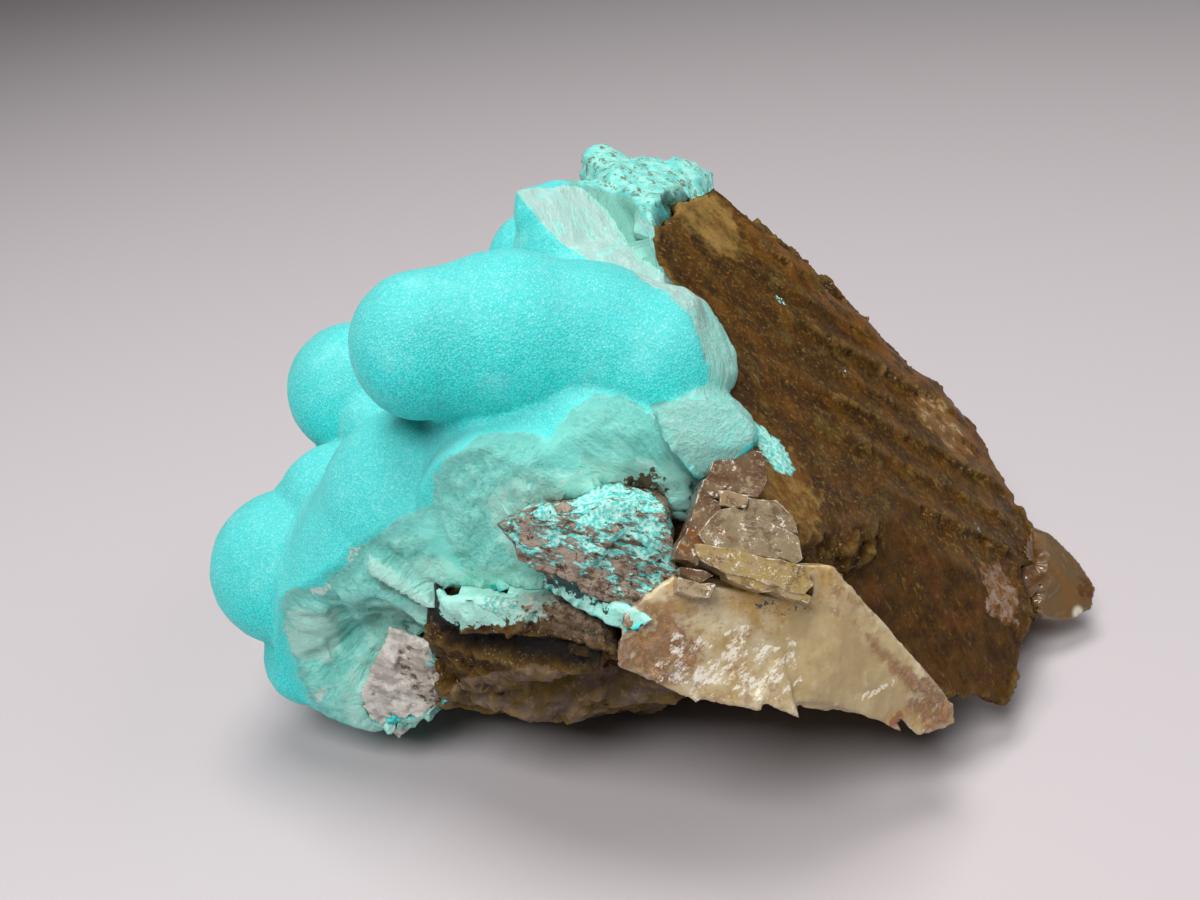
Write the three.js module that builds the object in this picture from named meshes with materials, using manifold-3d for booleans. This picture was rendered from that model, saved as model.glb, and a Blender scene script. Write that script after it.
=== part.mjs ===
// A loose mineral specimen: a velvety blue-green hemimorphite crust grown on brown calcite.
// Millimetres, +Z up. The broken front of the specimen faces -Y, the big sloping crystal face +X.

import * as THREE from "three";
import { ConvexGeometry } from "three/addons/geometries/ConvexGeometry.js";
import { mergeVertices } from "three/addons/utils/BufferGeometryUtils.js";
import Module from "manifold-3d";

const wasm = await Module();
wasm.setup();

const GAP = 0.3; // left open between two pieces that meet
const SAME_POINT = 1e-4; // corners closer than this are one corner
const BLOCK = 200; // rough block that a crystal is cut from
const FRONT_FINENESS = 4; // subdivisions of the balls that the lobes are made of
const BACK_FINENESS = 3;

// Main directions and places, in a frame whose origin lies on the ground under the middle.
const SLOPE = [0.69, -0.24, 0.683]; // the way the big crystal face looks
const SLOPE_TOP = [19.2, 16, 55.3]; // top corner of that face
const LEDGE_RUN = [0.722, 0.298, -0.625]; // the growth ledges run along this on the face
const LEDGE_FOOT = 0.02; // a ledge's low edges stand this high over the face
const LEDGE_ROOT = -1; // and its underside lies this far below it
const PLATE_LEAN = 0.8; // the foot of a cleavage plate stands this far in front of its top edge
const CRUST_ABOVE_SLOPE = 4.6; // the crust's broken edge stands this high over the face
const BASE = 0; // height of the flat break that the specimen rests on
const FRONT_FACE = { facing: [0.605, -0.631, 0.486], through: [33.8, -22.6, 27] }; // below the big face

// The brown calcite. Each crystal is a block cut by flat faces: the way each one looks and a point on it.
const BROWN_CRYSTALS = {
  slope: [
    { facing: SLOPE, through: SLOPE_TOP },
    { facing: [0.723, 0.257, 0.642], through: SLOPE_TOP },
    { facing: [0.39, 0.885, 0.25], through: [19.2, 17.5, 54] },
    { facing: [0.92, 0.33, -0.2], through: [54, 4, 15.3] },
    { facing: [0.9, -0.35, -0.25], through: [54, -10, 11] },
    { facing: [0.5, -0.2, -0.84], through: [52, -10, 7] },
    { facing: [-0.8, 0.43, 0.5], through: [14.6, 6.2, 56.5] },
    { facing: [-0.95, 0.1, 0.3], through: [9.6, -8, 57] },
    { facing: [-0.3, 0.95, 0], through: [5, 30, 10] },
    { facing: [-0.85, -0.64, 0.1], through: [16, -19, 47] },
    { facing: [-0.9, -0.3, -0.3], through: [4, -8, 40] },
    { facing: [0.2, -0.7, -0.68], through: [30, -20, 14] },
    { facing: [0, 0, -1], through: [0, 0, BASE + 4] },
    FRONT_FACE,
  ],
  front: [
    FRONT_FACE,
    { facing: SLOPE, through: [18.9, 15.9, 54.9] },
    { facing: [-0.35, -0.92, 0.17], through: [22, -36, 34] },
    { facing: [-0.95, 0.2, 0.1], through: [16, -30, 30] },
    { facing: [0.85, -0.24, -0.45], through: [49, -22, 9.5] },
    { facing: [-0.45, -0.3, -0.84], through: [44.5, -29, 5.4] },
    { facing: [0.1, 0.35, -0.93], through: [44.5, -28, 5.2] },
    { facing: [0, 1, 0], through: [0, -8, 0] },
  ],
  heart: [
    { facing: SLOPE, through: [18.5, 15.7, 53] },
    { facing: [-0.1, -0.98, 0.15], through: [-4, -31, 36] },
    { facing: [-0.62, -0.72, 0.3], through: [-13, -27, 28] },
    { facing: [-0.85, 0.1, 0.52], through: [-17, -6, 33] },
    { facing: [-0.3, -0.2, 0.93], through: [0, -8, 43] },
    { facing: [-0.55, 0.8, 0.2], through: [-10, 24, 20] },
    { facing: [0.05, 0.97, 0.25], through: [10, 29, 20] },
    { facing: [0.4, 0.88, -0.1], through: [30, 22, 15] },
    { facing: [0.84, 0.5, -0.2], through: [47, 8, 12] },
    { facing: [0.6, 0.2, -0.78], through: [44, 6, 5] },
    { facing: [0.1, -0.62, -0.78], through: [5, -14, BASE] },
    { facing: [-0.35, -0.5, -0.79], through: [-12, -9, BASE] },
    { facing: [-0.6, 0.3, -0.74], through: [-17, 6, BASE] },
    { facing: [0, 0, -1], through: [0, 0, BASE] },
    FRONT_FACE,
  ],
  backRight: [
    { facing: [0.62, 0.75, 0.22], through: [37, 22, 20] },
    { facing: [-0.5, 0.82, 0.28], through: [20, 27.5, 24] },
    { facing: [0.2, 0.35, 0.91], through: [26, 18, 33] },
    { facing: SLOPE, through: [16.5, 15.4, 51.5] },
    { facing: [0.88, 0.1, -0.46], through: [42, 12, 12] },
    { facing: [-0.2, 0.5, -0.84], through: [24, 24, 6] },
    { facing: [0, -1, 0], through: [26, 0, 20] },
    { facing: [-1, 0, 0], through: [6, 20, 20] },
    { facing: [0, 0, -1], through: [0, 0, BASE] },
  ],
  backLeft: [
    { facing: [0.35, 0.9, 0.26], through: [8, 33, 16] },
    { facing: [-0.7, 0.66, 0.27], through: [-5, 27, 16] },
    { facing: [-0.1, 0.4, 0.91], through: [4, 26, 25] },
    { facing: [0.1, 0.6, -0.79], through: [5, 29, 3] },
    { facing: [0.9, -0.2, 0.1], through: [18, 22, 14] },
    { facing: [0, -1, 0], through: [6, 5, 12] },
    { facing: [-1, -0.3, 0], through: [-12, 10, 10] },
    { facing: [0, 0, -1], through: [0, 0, BASE] },
  ],
  shoulder: [
    { facing: [-0.1, -0.93, 0.35], through: [18, -35, 42] },
    { facing: [0.3, -0.6, 0.74], through: [19, -31, 43] },
    { facing: SLOPE, through: [19.4, 15.9, 55.5] },
    { facing: [-0.9, -0.2, 0.38], through: [13, -32, 44] },
    { facing: [0.75, -0.6, 0.1], through: [25, -31, 37] },
    { facing: [0, 0.95, 0.3], through: [18, -20, 42] },
    { facing: [0, -0.3, -0.95], through: [18, -32, 28] },
  ],
};

// Rough lumps of the brown calcite, each the hull of a few corners.
const BROWN_LUMPS = {
  knob: [
    [-9.8, -37.4, 41.6], [-6.5, -38.4, 42.4], [-1.5, -38.4, 42.4], [2.5, -38.2, 42.8], [7.4, -39, 41],
    [8.2, -41, 35.6], [4.2, -42, 32.9], [-0.4, -41.2, 33.8], [-6, -40, 37.2], [-4, -28, 36], [7, -28, 40],
  ],
  lowerRock: [
    [-18.4, -33, 30.6], [-12.6, -36.4, 32.6], [-5.2, -38.4, 32.6], [-0.1, -40.6, 31.4],
    [1.2, -42.6, 27.6], [-4.4, -40.4, 25.6], [-11.4, -34, 20], [-18.6, -28.5, 14.4], [-14, -20, 22],
    [2, -20, 24], [6, -28, 20],
  ],
  lowerLedge: [
    [-19.6, -26, 11.6], [-11, -29, 15.5], [0, -33, 19], [9, -37, 20], [5, -18, BASE + 0.3], [-4, -19, 5],
    [-13, -19, 6], [-19, -20, 6], [-12, -14, 14], [8, -16, 16],
  ],
};

// Growth ledges on the sloping face: how far the outer edge lies across and along the face from its
// top corner, its length, the width of the step behind it and how high it stands.
const LEDGES = [
  { across: -43, start: 7, length: 36, width: 5, rise: 0.9 },
  { across: -37, start: -3, length: 50, width: 5.5, rise: 0.7 },
  { across: -31, start: -5, length: 53, width: 5, rise: 0.9 },
  { across: -25.5, start: -4, length: 50, width: 5, rise: 0.6 },
  { across: -20, start: -3, length: 46, width: 5.5, rise: 0.9 },
  { across: -14, start: -2, length: 31, width: 5, rise: 0.7 },
  { across: -8.5, start: 0, length: 18, width: 4.5, rise: 0.8 },
];

// The honey calcite at the lower front, with a lower edge broken in steps.
const HONEY_BODY = [
  [2.2, -43.2, 33.5], [1, -43.6, 27.8], [8.9, -42, 38], [15.2, -41.4, 37], [22.6, -39.8, 34.4],
  [27.4, -37.4, 24.6], [31.4, -36.4, 16.8], [35.6, -36.6, 14], [29.4, -39.4, 14.6], [20.6, -43.2, 20.8],
  [8.8, -44.2, 24], [6, -34, 32], [24, -30, 28], [8, -36, 21.5], [28, -32, 12.6],
];
const HONEY_STEPS = [
  [[1, -43.7, 28.2], [8.6, -44.4, 23.2], [8.6, -38, 22], [1, -38, 27], [4, -43, 30]],
  [[8.2, -44.5, 24], [14.9, -44.9, 21.6], [14.7, -38, 20.4], [8.4, -38, 22], [11, -43, 28]],
  [[14.2, -44.7, 23], [18.3, -44.8, 20.3], [18.9, -37, 19.2], [14.4, -37, 21], [17, -43, 27]],
  [[20, -43.2, 21.6], [29.8, -39.6, 12.8], [28.8, -32, 12.2], [20, -34, 19], [25, -40, 24]],
  [
    [29, -39.6, 15.6], [31.6, -39.2, 11.6], [36.2, -37.2, 10.8], [36, -36.6, 13.4], [34, -31, 10.6],
    [29, -31, 12], [31, -37.6, 19],
  ],
];

// The block of cleavage plates, from the top plate down. Each plate is a flat slice of one leaning wedge.
const PLATES = [
  { left: [11.4, -36.6, 46.4], right: [16.8, -36.4, 44.8], foot: 4.2, depth: 3 },
  { left: [10.4, -38.4, 43.6], right: [17.4, -38.2, 41.4], foot: 3.2, depth: 5 },
  { left: [9.6, -39.8, 41.9], right: [18.2, -39.8, 39.2], foot: 3, depth: 6 },
  { left: [8.6, -41.4, 40.1], right: [19.1, -41.6, 36.9], foot: 2.8, depth: 7 },
  { left: [7.9, -42.8, 38.8], right: [19.9, -43.4, 35.2], foot: 1.6, depth: 8 },
];

const AMBER_TIP = [
  [55.5, -2.6, 12.4], [58.4, -3.2, 10.8], [60.8, -5.6, 8.6], [62.4, -9, 5.9], [61.2, -11.4, 4.4],
  [57.5, -13.2, 4.4], [52.5, -14.6, 6.4], [52, -10, 13.4], [50, -2, 10], [52, 2, 7], [57, -2, 3.6],
  [50, -10, 4.2],
];

const CORNER_CALCITE = [
  [-22.8, -28.4, 24.6], [-18.6, -29.6, 22.4], [-17.6, -28.6, 18.6], [-19.6, -26.6, 12],
  [-25.4, -23.2, 4.4], [-28.6, -23, 8.4], [-28.2, -25.2, 13.4], [-25.4, -27, 19.4], [-20, -22, 18],
  [-23, -19, 8],
];

// The rounded lobes of the crust. Each is one ball, or the smooth hull of a few that grew into one swelling.
const FRONT_LOBES = [
  // the long upper pillow
  [
    { at: [-14.9, -22, 53.8], radius: 7.6 },
    { at: [-6.7, -19.4, 52.2], radius: 9.1 },
    { at: [2, -18.6, 50.3], radius: 8.5 },
  ],
  // the lobes behind its left end
  [{ at: [-27.2, 2, 38.5], radius: 8.4 }],
  [{ at: [-23.9, -6, 37], radius: 4.6 }],
  // the lower front row, from left to right
  [{ at: [-35.9, -13, 23.4], radius: 9.3 }],
  [{ at: [-35.2, -16.4, 12.8], radius: 5.6 }],
  [{ at: [-29.4, -10, 29.6], radius: 7.2 }],
  [
    { at: [-22.2, -18, 22.8], radius: 14.6 },
    { at: [-18.4, -18.6, 33.2], radius: 11.4 },
  ],
  [{ at: [-26.6, -20, 16.8], radius: 11.2 }],
  [{ at: [-29, -17, 10], radius: 6.4 }],
  [{ at: [-8.8, -29.5, 38.5], radius: 8.6 }],
  [{ at: [2.2, -30.6, 41.5], radius: 7.3 }],
  [{ at: [10.4, -27, 41], radius: 7.4 }],
];
const BACK_LOBES = [
  [{ at: [-9, -8, 43], radius: 8.6 }],
  [{ at: [-17, -2, 42], radius: 8 }],
  [{ at: [-33, 0, 20], radius: 9.4 }],
  [{ at: [-26, 13, 26], radius: 10.2 }],
  [{ at: [-28, 8, 11.5], radius: 7.8 }],
  [{ at: [-17, 20, 33], radius: 9 }],
  [{ at: [-18.5, 20, 17.5], radius: 8.8 }],
  [{ at: [-8.5, 25, 25], radius: 8.2 }],
  [{ at: [-16, 9, 41], radius: 8.6 }],
  [{ at: [-5, 17, 40.5], radius: 8.4 }],
  [{ at: [1, 24, 38], radius: 7 }],
  [{ at: [-3.4, 7, 50.7], radius: 6.3 }],
  [{ at: [3.2, -8, 50], radius: 7.6 }],
];
// The right end of the pillow, broken off along its rim.
const RIM_LOBE = [
  { at: [2, -18.6, 50.3], radius: 8.5 },
  { at: [8.1, -20, 47.9], radius: 8.6 },
];
const RIM_BREAK = { facing: [0.85, -0.2, 0.48], through: [14.4, -21.4, 51.5] };
// The horn over the pillow: a lobe with a pointed top.
const HORN = [{ at: [2, -1, 52.6], radius: 8.8 }];
const HORN_TOP = [[-5.2, -0.6, 62.4], [-1, 4, 61.8], [4.6, 6, 60.4], [-6, 3, 57]];

// What lies between the lobes and the calcite.
const CRUST_FILL = [
  [
    [-33, -25, 21], [-31, -25, 13], [-28, -25, 9], [-20, -34, 33], [-14, -36, 36], [-8, -38, 41],
    [3, -38, 44.6], [12, -36, 44], [12, -24, 46], [-2, -24, 52], [-12, -22, 50], [-30, -14, 30],
    [-24, -14, 8], [2, -37, 34], [-4, -37, 32], [-12, -34, 28], [8, -38, 38], [-20, -8, 30],
  ],
  [
    [-28, -12, 24], [-28, -10, 12], [-12, 8, 44], [2, 6, 52], [8, -10, 52], [-10, -14, 50], [-26, 12, 28],
    [-20, 17, 17], [-8, 22, 25], [1, 22, 37], [-5, 15, 46], [4, 12, 54], [-24, 4, 36], [-26, 6, 12],
    [0, 0, 20],
  ],
];

// The coarse crust along the top edge, with an uneven skyline, and its hem over the calcite.
const TOP_CRUST = [
  [
    [3.1, 14.5, 61.4], [5.7, 15.6, 61.9], [7.8, 16, 60.8], [2.8, 13, 57.9], [5.4, 9, 59.8],
    [2.9, 11, 58.8], [9.6, -4.1, 59.1], [4, 19, 55], [10, 19, 53], [4, 8, 50], [9, 0, 50],
  ],
  [
    [7.8, 16, 60.4], [9.2, 16.4, 59.8], [13.1, 17.2, 59.2], [12, 3.4, 59.3], [10.9, 0.3, 59.5],
    [9.6, -4.1, 59.1], [7, 4, 58.6], [10, 19, 53], [14, 19, 52], [6, 6, 50], [10, 0, 50],
  ],
  [
    [13.1, 17.2, 58.6], [14.5, 17.4, 59.4], [15.1, 17.5, 58.4], [17.7, 18, 57.5], [19.4, 18.5, 56],
    [18.7, 14.4, 56.1], [17.4, 11.6, 56.6], [12, 3.4, 59.3], [18.5, 20, 52], [12, 19, 52], [12, 6, 52],
  ],
  [
    [9.6, -4.1, 59.1], [9.9, -7.6, 57.6], [10.2, -12.1, 55.6], [10.3, -14.3, 54.8], [6.9, 1.5, 54.8],
    [7.5, -1, 53], [8.7, -3.5, 52.1], [7, -12, 50], [6, 0, 46], [9, -8, 46], [9.6, -14, 46],
    [8.2, -5, 57.6], [8.2, -10.5, 56.2], [8.8, -15, 54.2],
  ],
];

// A pale fan of fibres that stands proud of the broken section.
const FAN = [
  [6.6, -33, 49.5], [10.5, -33, 50.5], [14.7, -33, 49.5], [16.4, -35, 47.1], [16.2, -36, 46],
  [10.5, -37.5, 43.2], [7.8, -36, 47.2], [8, -26, 44], [16, -26, 42],
];

// Breaks through the crust: everything in front of these faces is gone.
const CRUST_BREAKS = [
  { facing: [0.06, -0.98, 0.2], through: [-3, -33.4, 45] },
  { facing: [-0.317, -0.947, 0.057], through: [-20.5, -29, 37.5] },
  { facing: [-0.36, -0.923, -0.132], through: [-35.5, -23.5, 23] },
  { facing: [0.05, 0.1, -0.99], through: [-28, -16, 5.6] },
];
// The hollow in the broken section at the lower left.
const CRUST_HOLLOW = [{ at: [-26, -29.5, 18], radius: 10, stretch: [0.9, 0.6, 1.1] }];
const HORN_BREAK = { facing: [0.436, -0.344, 0.832], through: [4.6, 4, 59.7] };

function solid(geometry) {
  geometry.deleteAttribute("normal");
  geometry.deleteAttribute("uv");
  const merged = mergeVertices(geometry, SAME_POINT);
  return new wasm.Manifold(new wasm.Mesh({
    numProp: 3,
    vertProperties: merged.attributes.position.array,
    triVerts: Uint32Array.from(merged.index.array),
  }));
}

function join(solids) {
  return solids.reduce((whole, next) => whole.add(next));
}

function cut(body, cutters) {
  return cutters.reduce((rest, cutter) => rest.subtract(cutter), body);
}

// Everything in front of a flat face.
function beyond({ facing, through }, grow = 0) {
  const direction = new THREE.Vector3(...facing).normalize();
  const middle = new THREE.Vector3(...through).addScaledVector(direction, grow + BLOCK / 2);
  const cutter = new THREE.BoxGeometry(2 * BLOCK, 2 * BLOCK, BLOCK);
  cutter.applyQuaternion(new THREE.Quaternion().setFromUnitVectors(new THREE.Vector3(0, 0, 1), direction));
  cutter.translate(middle.x, middle.y, middle.z);
  return solid(cutter);
}

function crystal(faces, grow = 0) {
  const block = solid(new THREE.BoxGeometry(BLOCK, BLOCK, BLOCK));
  return cut(block, faces.map((face) => beyond(face, grow)));
}

// The hull of some corners, grown outwards on all sides.
function lump(corners, grow = 0) {
  const points = [];
  for (const [x, y, z] of corners) {
    const corner = new THREE.Vector3(x, y, z);
    points.push(corner);
    if (grow === 0) continue;
    for (const axis of ["x", "y", "z"]) {
      for (const side of [-1, 1]) {
        const moved = corner.clone();
        moved[axis] += side * grow * Math.sqrt(3);
        points.push(moved);
      }
    }
  }
  return solid(new ConvexGeometry(points));
}

// The smooth hull of some balls and of a few corners.
function swelling(balls, fineness, corners = []) {
  const points = corners.map((corner) => new THREE.Vector3(...corner));
  for (const { at, radius, stretch = [1, 1, 1] } of balls) {
    const ball = new THREE.IcosahedronGeometry(radius, fineness);
    ball.scale(...stretch);
    ball.translate(...at);
    const { position } = ball.attributes;
    for (let i = 0; i < position.count; i += 1) {
      points.push(new THREE.Vector3().fromBufferAttribute(position, i));
    }
  }
  return solid(new ConvexGeometry(points));
}

// A growth ledge: a long wedge on the sloping face, high at its outer edge and level with the face behind.
function ledge({ across, start, length, width, rise }, grow = 0) {
  const up = new THREE.Vector3(...SLOPE).normalize();
  const along = new THREE.Vector3(...LEDGE_RUN).normalize();
  const back = new THREE.Vector3().crossVectors(up, along).normalize();
  const first = new THREE.Vector3(...SLOPE_TOP).addScaledVector(along, start).addScaledVector(back, across);
  const corners = [];
  for (const [run, behind, height] of [
    [0, 0, LEDGE_FOOT], [0.35, 0, rise], [0.9, 0, rise], [1, 0, LEDGE_FOOT],
    [0.2, width, LEDGE_FOOT], [0.9, width, LEDGE_FOOT],
    [0, 0, LEDGE_ROOT], [1, 0, LEDGE_ROOT], [0.2, width, LEDGE_ROOT], [0.9, width, LEDGE_ROOT],
  ]) {
    const corner = first.clone().addScaledVector(along, run * length);
    corner.addScaledVector(back, behind).addScaledVector(up, height);
    corners.push(corner.toArray());
  }
  return lump(corners, grow);
}

// One cleavage plate: a slice with a straight front edge, running back and down into the block.
function plate({ left, right, foot, depth }, grow = 0) {
  const corners = [];
  for (const [x, y, z] of [left, right]) {
    corners.push([x, y, z], [x, y - PLATE_LEAN, z - foot]);
    corners.push([x, y + depth, z - depth / 2], [x, y + depth, z - foot - depth / 2]);
  }
  return lump(corners, grow);
}

function brownCalcite(grow = 0) {
  const crystals = Object.values(BROWN_CRYSTALS).map((faces) => crystal(faces, grow));
  const lumps = Object.values(BROWN_LUMPS).map((corners) => lump(corners, grow));
  const ledges = LEDGES.map((one) => ledge(one, grow));
  return join([...crystals, ...lumps, ...ledges]);
}

function honeyCalcite(grow = 0) {
  return join([HONEY_BODY, ...HONEY_STEPS].map((corners) => lump(corners, grow)));
}

function cleavageBlock(grow = 0) {
  return join(PLATES.map((one) => plate(one, grow)));
}

function crust() {
  const front = FRONT_LOBES.map((balls) => swelling(balls, FRONT_FINENESS));
  const back = BACK_LOBES.map((balls) => swelling(balls, BACK_FINENESS));
  const horn = swelling(HORN, BACK_FINENESS, HORN_TOP).subtract(beyond(HORN_BREAK));
  const rim = swelling(RIM_LOBE, FRONT_FINENESS).subtract(beyond(RIM_BREAK));
  const flat = [...CRUST_FILL, ...TOP_CRUST].map((corners) => lump(corners));
  const whole = join([...front, ...back, horn, rim, ...flat]);
  const hollow = swelling(CRUST_HOLLOW, BACK_FINENESS);
  return cut(whole, [...CRUST_BREAKS.map((face) => beyond(face)), hollow]).add(lump(FAN));
}

const slopeSide = beyond({ facing: SLOPE, through: SLOPE_TOP }, CRUST_ABOVE_SLOPE);
const brown = brownCalcite();
const brownSpace = brownCalcite(GAP);
const block = cleavageBlock().subtract(brownSpace);
const blockSpace = cleavageBlock(GAP);
const honey = cut(honeyCalcite(), [brownSpace, blockSpace]);
const amber = lump(AMBER_TIP).subtract(brownSpace);
const corner = lump(CORNER_CALCITE).subtract(brownSpace);
const crustBody = cut(crust(), [
  slopeSide, brownSpace, honeyCalcite(GAP), blockSpace, lump(CORNER_CALCITE, GAP),
]);

const LOOKS = {
  brown_calcite_matrix: { color: 0x5a3a20, roughness: 0.6 },
  hemimorphite_crust: { color: 0x35c9c4, roughness: 0.85 },
  honey_calcite: { color: 0xc09a62, roughness: 0.35 },
  cleavage_block: { color: 0xa8906a, roughness: 0.35 },
  amber_tip: { color: 0x9a6a34, roughness: 0.35 },
  corner_calcite: { color: 0xb8a898, roughness: 0.6 },
};

const SOLIDS = {
  brown_calcite_matrix: brown,
  hemimorphite_crust: crustBody,
  honey_calcite: honey,
  cleavage_block: block,
  amber_tip: amber,
  corner_calcite: corner,
};

const group = new THREE.Group();
for (const [name, body] of Object.entries(SOLIDS)) {
  const { vertProperties, triVerts } = body.getMesh();
  const geometry = new THREE.BufferGeometry();
  geometry.setAttribute("position", new THREE.BufferAttribute(vertProperties, 3));
  geometry.setIndex(new THREE.BufferAttribute(triVerts, 1));
  const mesh = new THREE.Mesh(geometry, new THREE.MeshStandardMaterial({ ...LOOKS[name], metalness: 0 }));
  mesh.name = name;
  group.add(mesh);
}

// The origin is the middle of the bounding box, on the ground.
const bounds = new THREE.Box3().setFromObject(group);
const middle = bounds.getCenter(new THREE.Vector3());
group.position.set(-middle.x, -middle.y, -bounds.min.z);

export default group;
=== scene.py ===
import math
from itertools import product

import bmesh
import bpy
import numpy as np
from mathutils import Matrix, Vector
from mathutils.bvhtree import BVHTree


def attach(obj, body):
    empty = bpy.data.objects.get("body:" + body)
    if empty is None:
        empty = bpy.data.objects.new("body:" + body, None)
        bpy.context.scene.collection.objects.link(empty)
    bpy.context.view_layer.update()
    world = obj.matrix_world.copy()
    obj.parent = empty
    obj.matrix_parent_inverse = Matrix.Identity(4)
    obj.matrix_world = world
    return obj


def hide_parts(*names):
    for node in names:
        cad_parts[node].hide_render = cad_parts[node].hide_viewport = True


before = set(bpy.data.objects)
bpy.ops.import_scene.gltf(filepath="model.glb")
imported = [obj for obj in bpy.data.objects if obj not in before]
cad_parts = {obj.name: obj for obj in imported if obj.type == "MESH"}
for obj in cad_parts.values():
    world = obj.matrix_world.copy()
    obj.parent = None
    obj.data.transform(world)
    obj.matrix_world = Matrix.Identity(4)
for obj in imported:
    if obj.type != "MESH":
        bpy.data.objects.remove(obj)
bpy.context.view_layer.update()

# Places in this script are in the drawing's frame, in mm. The part's own frame is shifted from it.
mm = 0.001
drawingShift = np.array([-8.635, 3.776, 0.0])
slopeFacing = np.array([0.69, -0.24, 0.683])  # the way the big crystal face looks
slopeTop = np.array([19.2, 16.0, 55.3])
ledgeRun = np.array([0.722, 0.298, -0.625])  # growth ledges on that face run along this
ledgeBack = np.cross(slopeFacing, ledgeRun)
frontFacing = np.array([0.605, -0.631, 0.486])  # the dark face under the big one
frontPlace = np.array([33.8, -22.6, 27.0])
breakView = np.array([-0.05, 0.856, -0.515])  # the broken front is outlined as seen along this

view = {
    "place": (-7.087, -138.984, 105.178),  # mm, in the part's frame
    "pitch": 28.42,  # degrees below the horizon
    "roll": -5.67,
    "lens": 39.0,
    "sensor": 36.0,
    "clipStart": 0.005,
}
cameraData = bpy.data.cameras.new("camera")
cameraData.lens = view["lens"]
cameraData.sensor_width = view["sensor"]
cameraData.clip_start = view["clipStart"]
camera = bpy.data.objects.new("camera", cameraData)
bpy.context.scene.collection.objects.link(camera)
tilt = Matrix.Rotation(math.radians(90 - view["pitch"]), 4, "X")
roll = Matrix.Rotation(math.radians(view["roll"]), 4, "Z")
camera.matrix_world = Matrix.Translation(Vector(view["place"]) * mm) @ tilt @ roll
bpy.context.scene.camera = camera
bpy.context.scene.view_settings.view_transform = "Standard"  # keeps the blue-green true

lamps = {
    "overhead": {"place": (-0.05, 0.05, 0.62), "size": 0.28, "power": 2.8, "colour": (1.0, 0.98, 0.97)},
    "front": {"place": (-0.14, -0.36, 0.53), "size": 0.26, "power": 3.5, "colour": (1.0, 0.99, 0.99)},
    "right": {"place": (0.42, -0.06, 0.50), "size": 0.28, "power": 0.8, "colour": (1.0, 0.97, 0.94)},
}
lampAim = Vector((0, 0, 0.03))
for lampName, lamp in lamps.items():
    lampData = bpy.data.lights.new(lampName, "AREA")
    lampData.size = lamp["size"]
    lampData.energy = lamp["power"]
    lampData.color = lamp["colour"]
    lampObject = bpy.data.objects.new(lampName, lampData)
    lampObject.location = lamp["place"]
    beam = lampAim - Vector(lamp["place"])
    lampObject.rotation_euler = beam.to_track_quat("-Z", "Y").to_euler()
    bpy.context.scene.collection.objects.link(lampObject)

room = {
    "light": (0.62, 0.62, 0.64),
    "strength": 0.11,
    "floorReach": 1.6,  # metres from the floor's middle to its edge
    "floorColour": (0.465, 0.433, 0.446),
    "floorRoughness": 0.7,
}
world = bpy.data.worlds.new("room")
world.use_nodes = True
background = world.node_tree.nodes["Background"]
background.inputs["Color"].default_value = (*room["light"], 1)
background.inputs["Strength"].default_value = room["strength"]
bpy.context.scene.world = world

floorMesh = bpy.data.meshes.new("floor")
floorShape = bmesh.new()
bmesh.ops.create_grid(floorShape, x_segments=1, y_segments=1, size=room["floorReach"])
floorShape.to_mesh(floorMesh)
floorShape.free()
floor = bpy.data.objects.new("floor", floorMesh)
bpy.context.scene.collection.objects.link(floor)
paint = bpy.data.materials.new("floorPaint")
paint.use_nodes = True
painted = paint.node_tree.nodes["Principled BSDF"]
painted.inputs["Base Color"].default_value = (*room["floorColour"], 1)
painted.inputs["Roughness"].default_value = room["floorRoughness"]
floorMesh.materials.append(paint)
print("camera, lamps and floor are set")

cellMix = (73856093, 19349663, 83492791, 2654435761)  # large primes, for x, y, z and the seed


def cellValue(cell, seed):  # a fixed value from -1 to 1 for each cell of a lattice
    x, y, z = (cell[:, axis].astype(np.int64) * cellMix[axis] for axis in range(3))
    mixed = x ^ y ^ z ^ (seed * cellMix[3])
    mixed = ((mixed ^ (mixed >> 13)) * 1274126177) & 0x7FFFFFFF
    return (((mixed ^ (mixed >> 15)) & 0xFFFF) / 32767.5) - 1


def noise(points, size, seed, octaves=1, apart=17.3):  # apart keeps the octaves' lattices from lining up
    total = np.zeros(len(points))
    for octave in range(octaves):
        q = points / (size / 2 ** octave) + apart * octave
        base = np.floor(q)
        part = q - base
        part = part * part * (3 - 2 * part)
        for corner in product((0, 1), repeat=3):
            weight = np.prod(np.where(corner, part, 1 - part), axis=1)
            total += weight * cellValue(base + corner, seed + octave) / 2 ** octave
    return total


# height of a surface broken into flat, tilted facets; jitter moves them, and step lifts one over another
def facets(points, size, seed, jitter=0.42, step=0.35):
    q = points / size
    base = np.floor(q)
    nearest = np.full(len(q), 1e9)
    height = np.zeros(len(q))
    for neighbour in product((-1, 0, 1), repeat=3):
        cell = base + neighbour
        moved = np.stack([cellValue(cell, seed + axis) for axis in range(3)], axis=1)
        offset = q - (cell + 0.5 + jitter * moved)
        distance = (offset ** 2).sum(axis=1)
        lean = np.stack([cellValue(cell, seed + 3 + axis) for axis in range(3)], axis=1)
        value = (offset * lean).sum(axis=1) + step * cellValue(cell, seed + 6)
        closer = distance < nearest
        nearest = np.where(closer, distance, nearest)
        height = np.where(closer, value, height)
    return height


def layered(points, layers, pattern=noise):  # patterns added up; a layer is its amount, size, seed, octaves
    return sum(amount * pattern(points, *layer) for amount, *layer in layers)


def ramp(values, low, high):
    t = np.clip((values - low) / (high - low), 0, 1)
    return t * t * (3 - 2 * t)


def hump(values, middle, reach):  # 1 at the middle, 0 beyond the reach
    return 1 - ramp(np.abs(values - middle), 0, reach)


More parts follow.
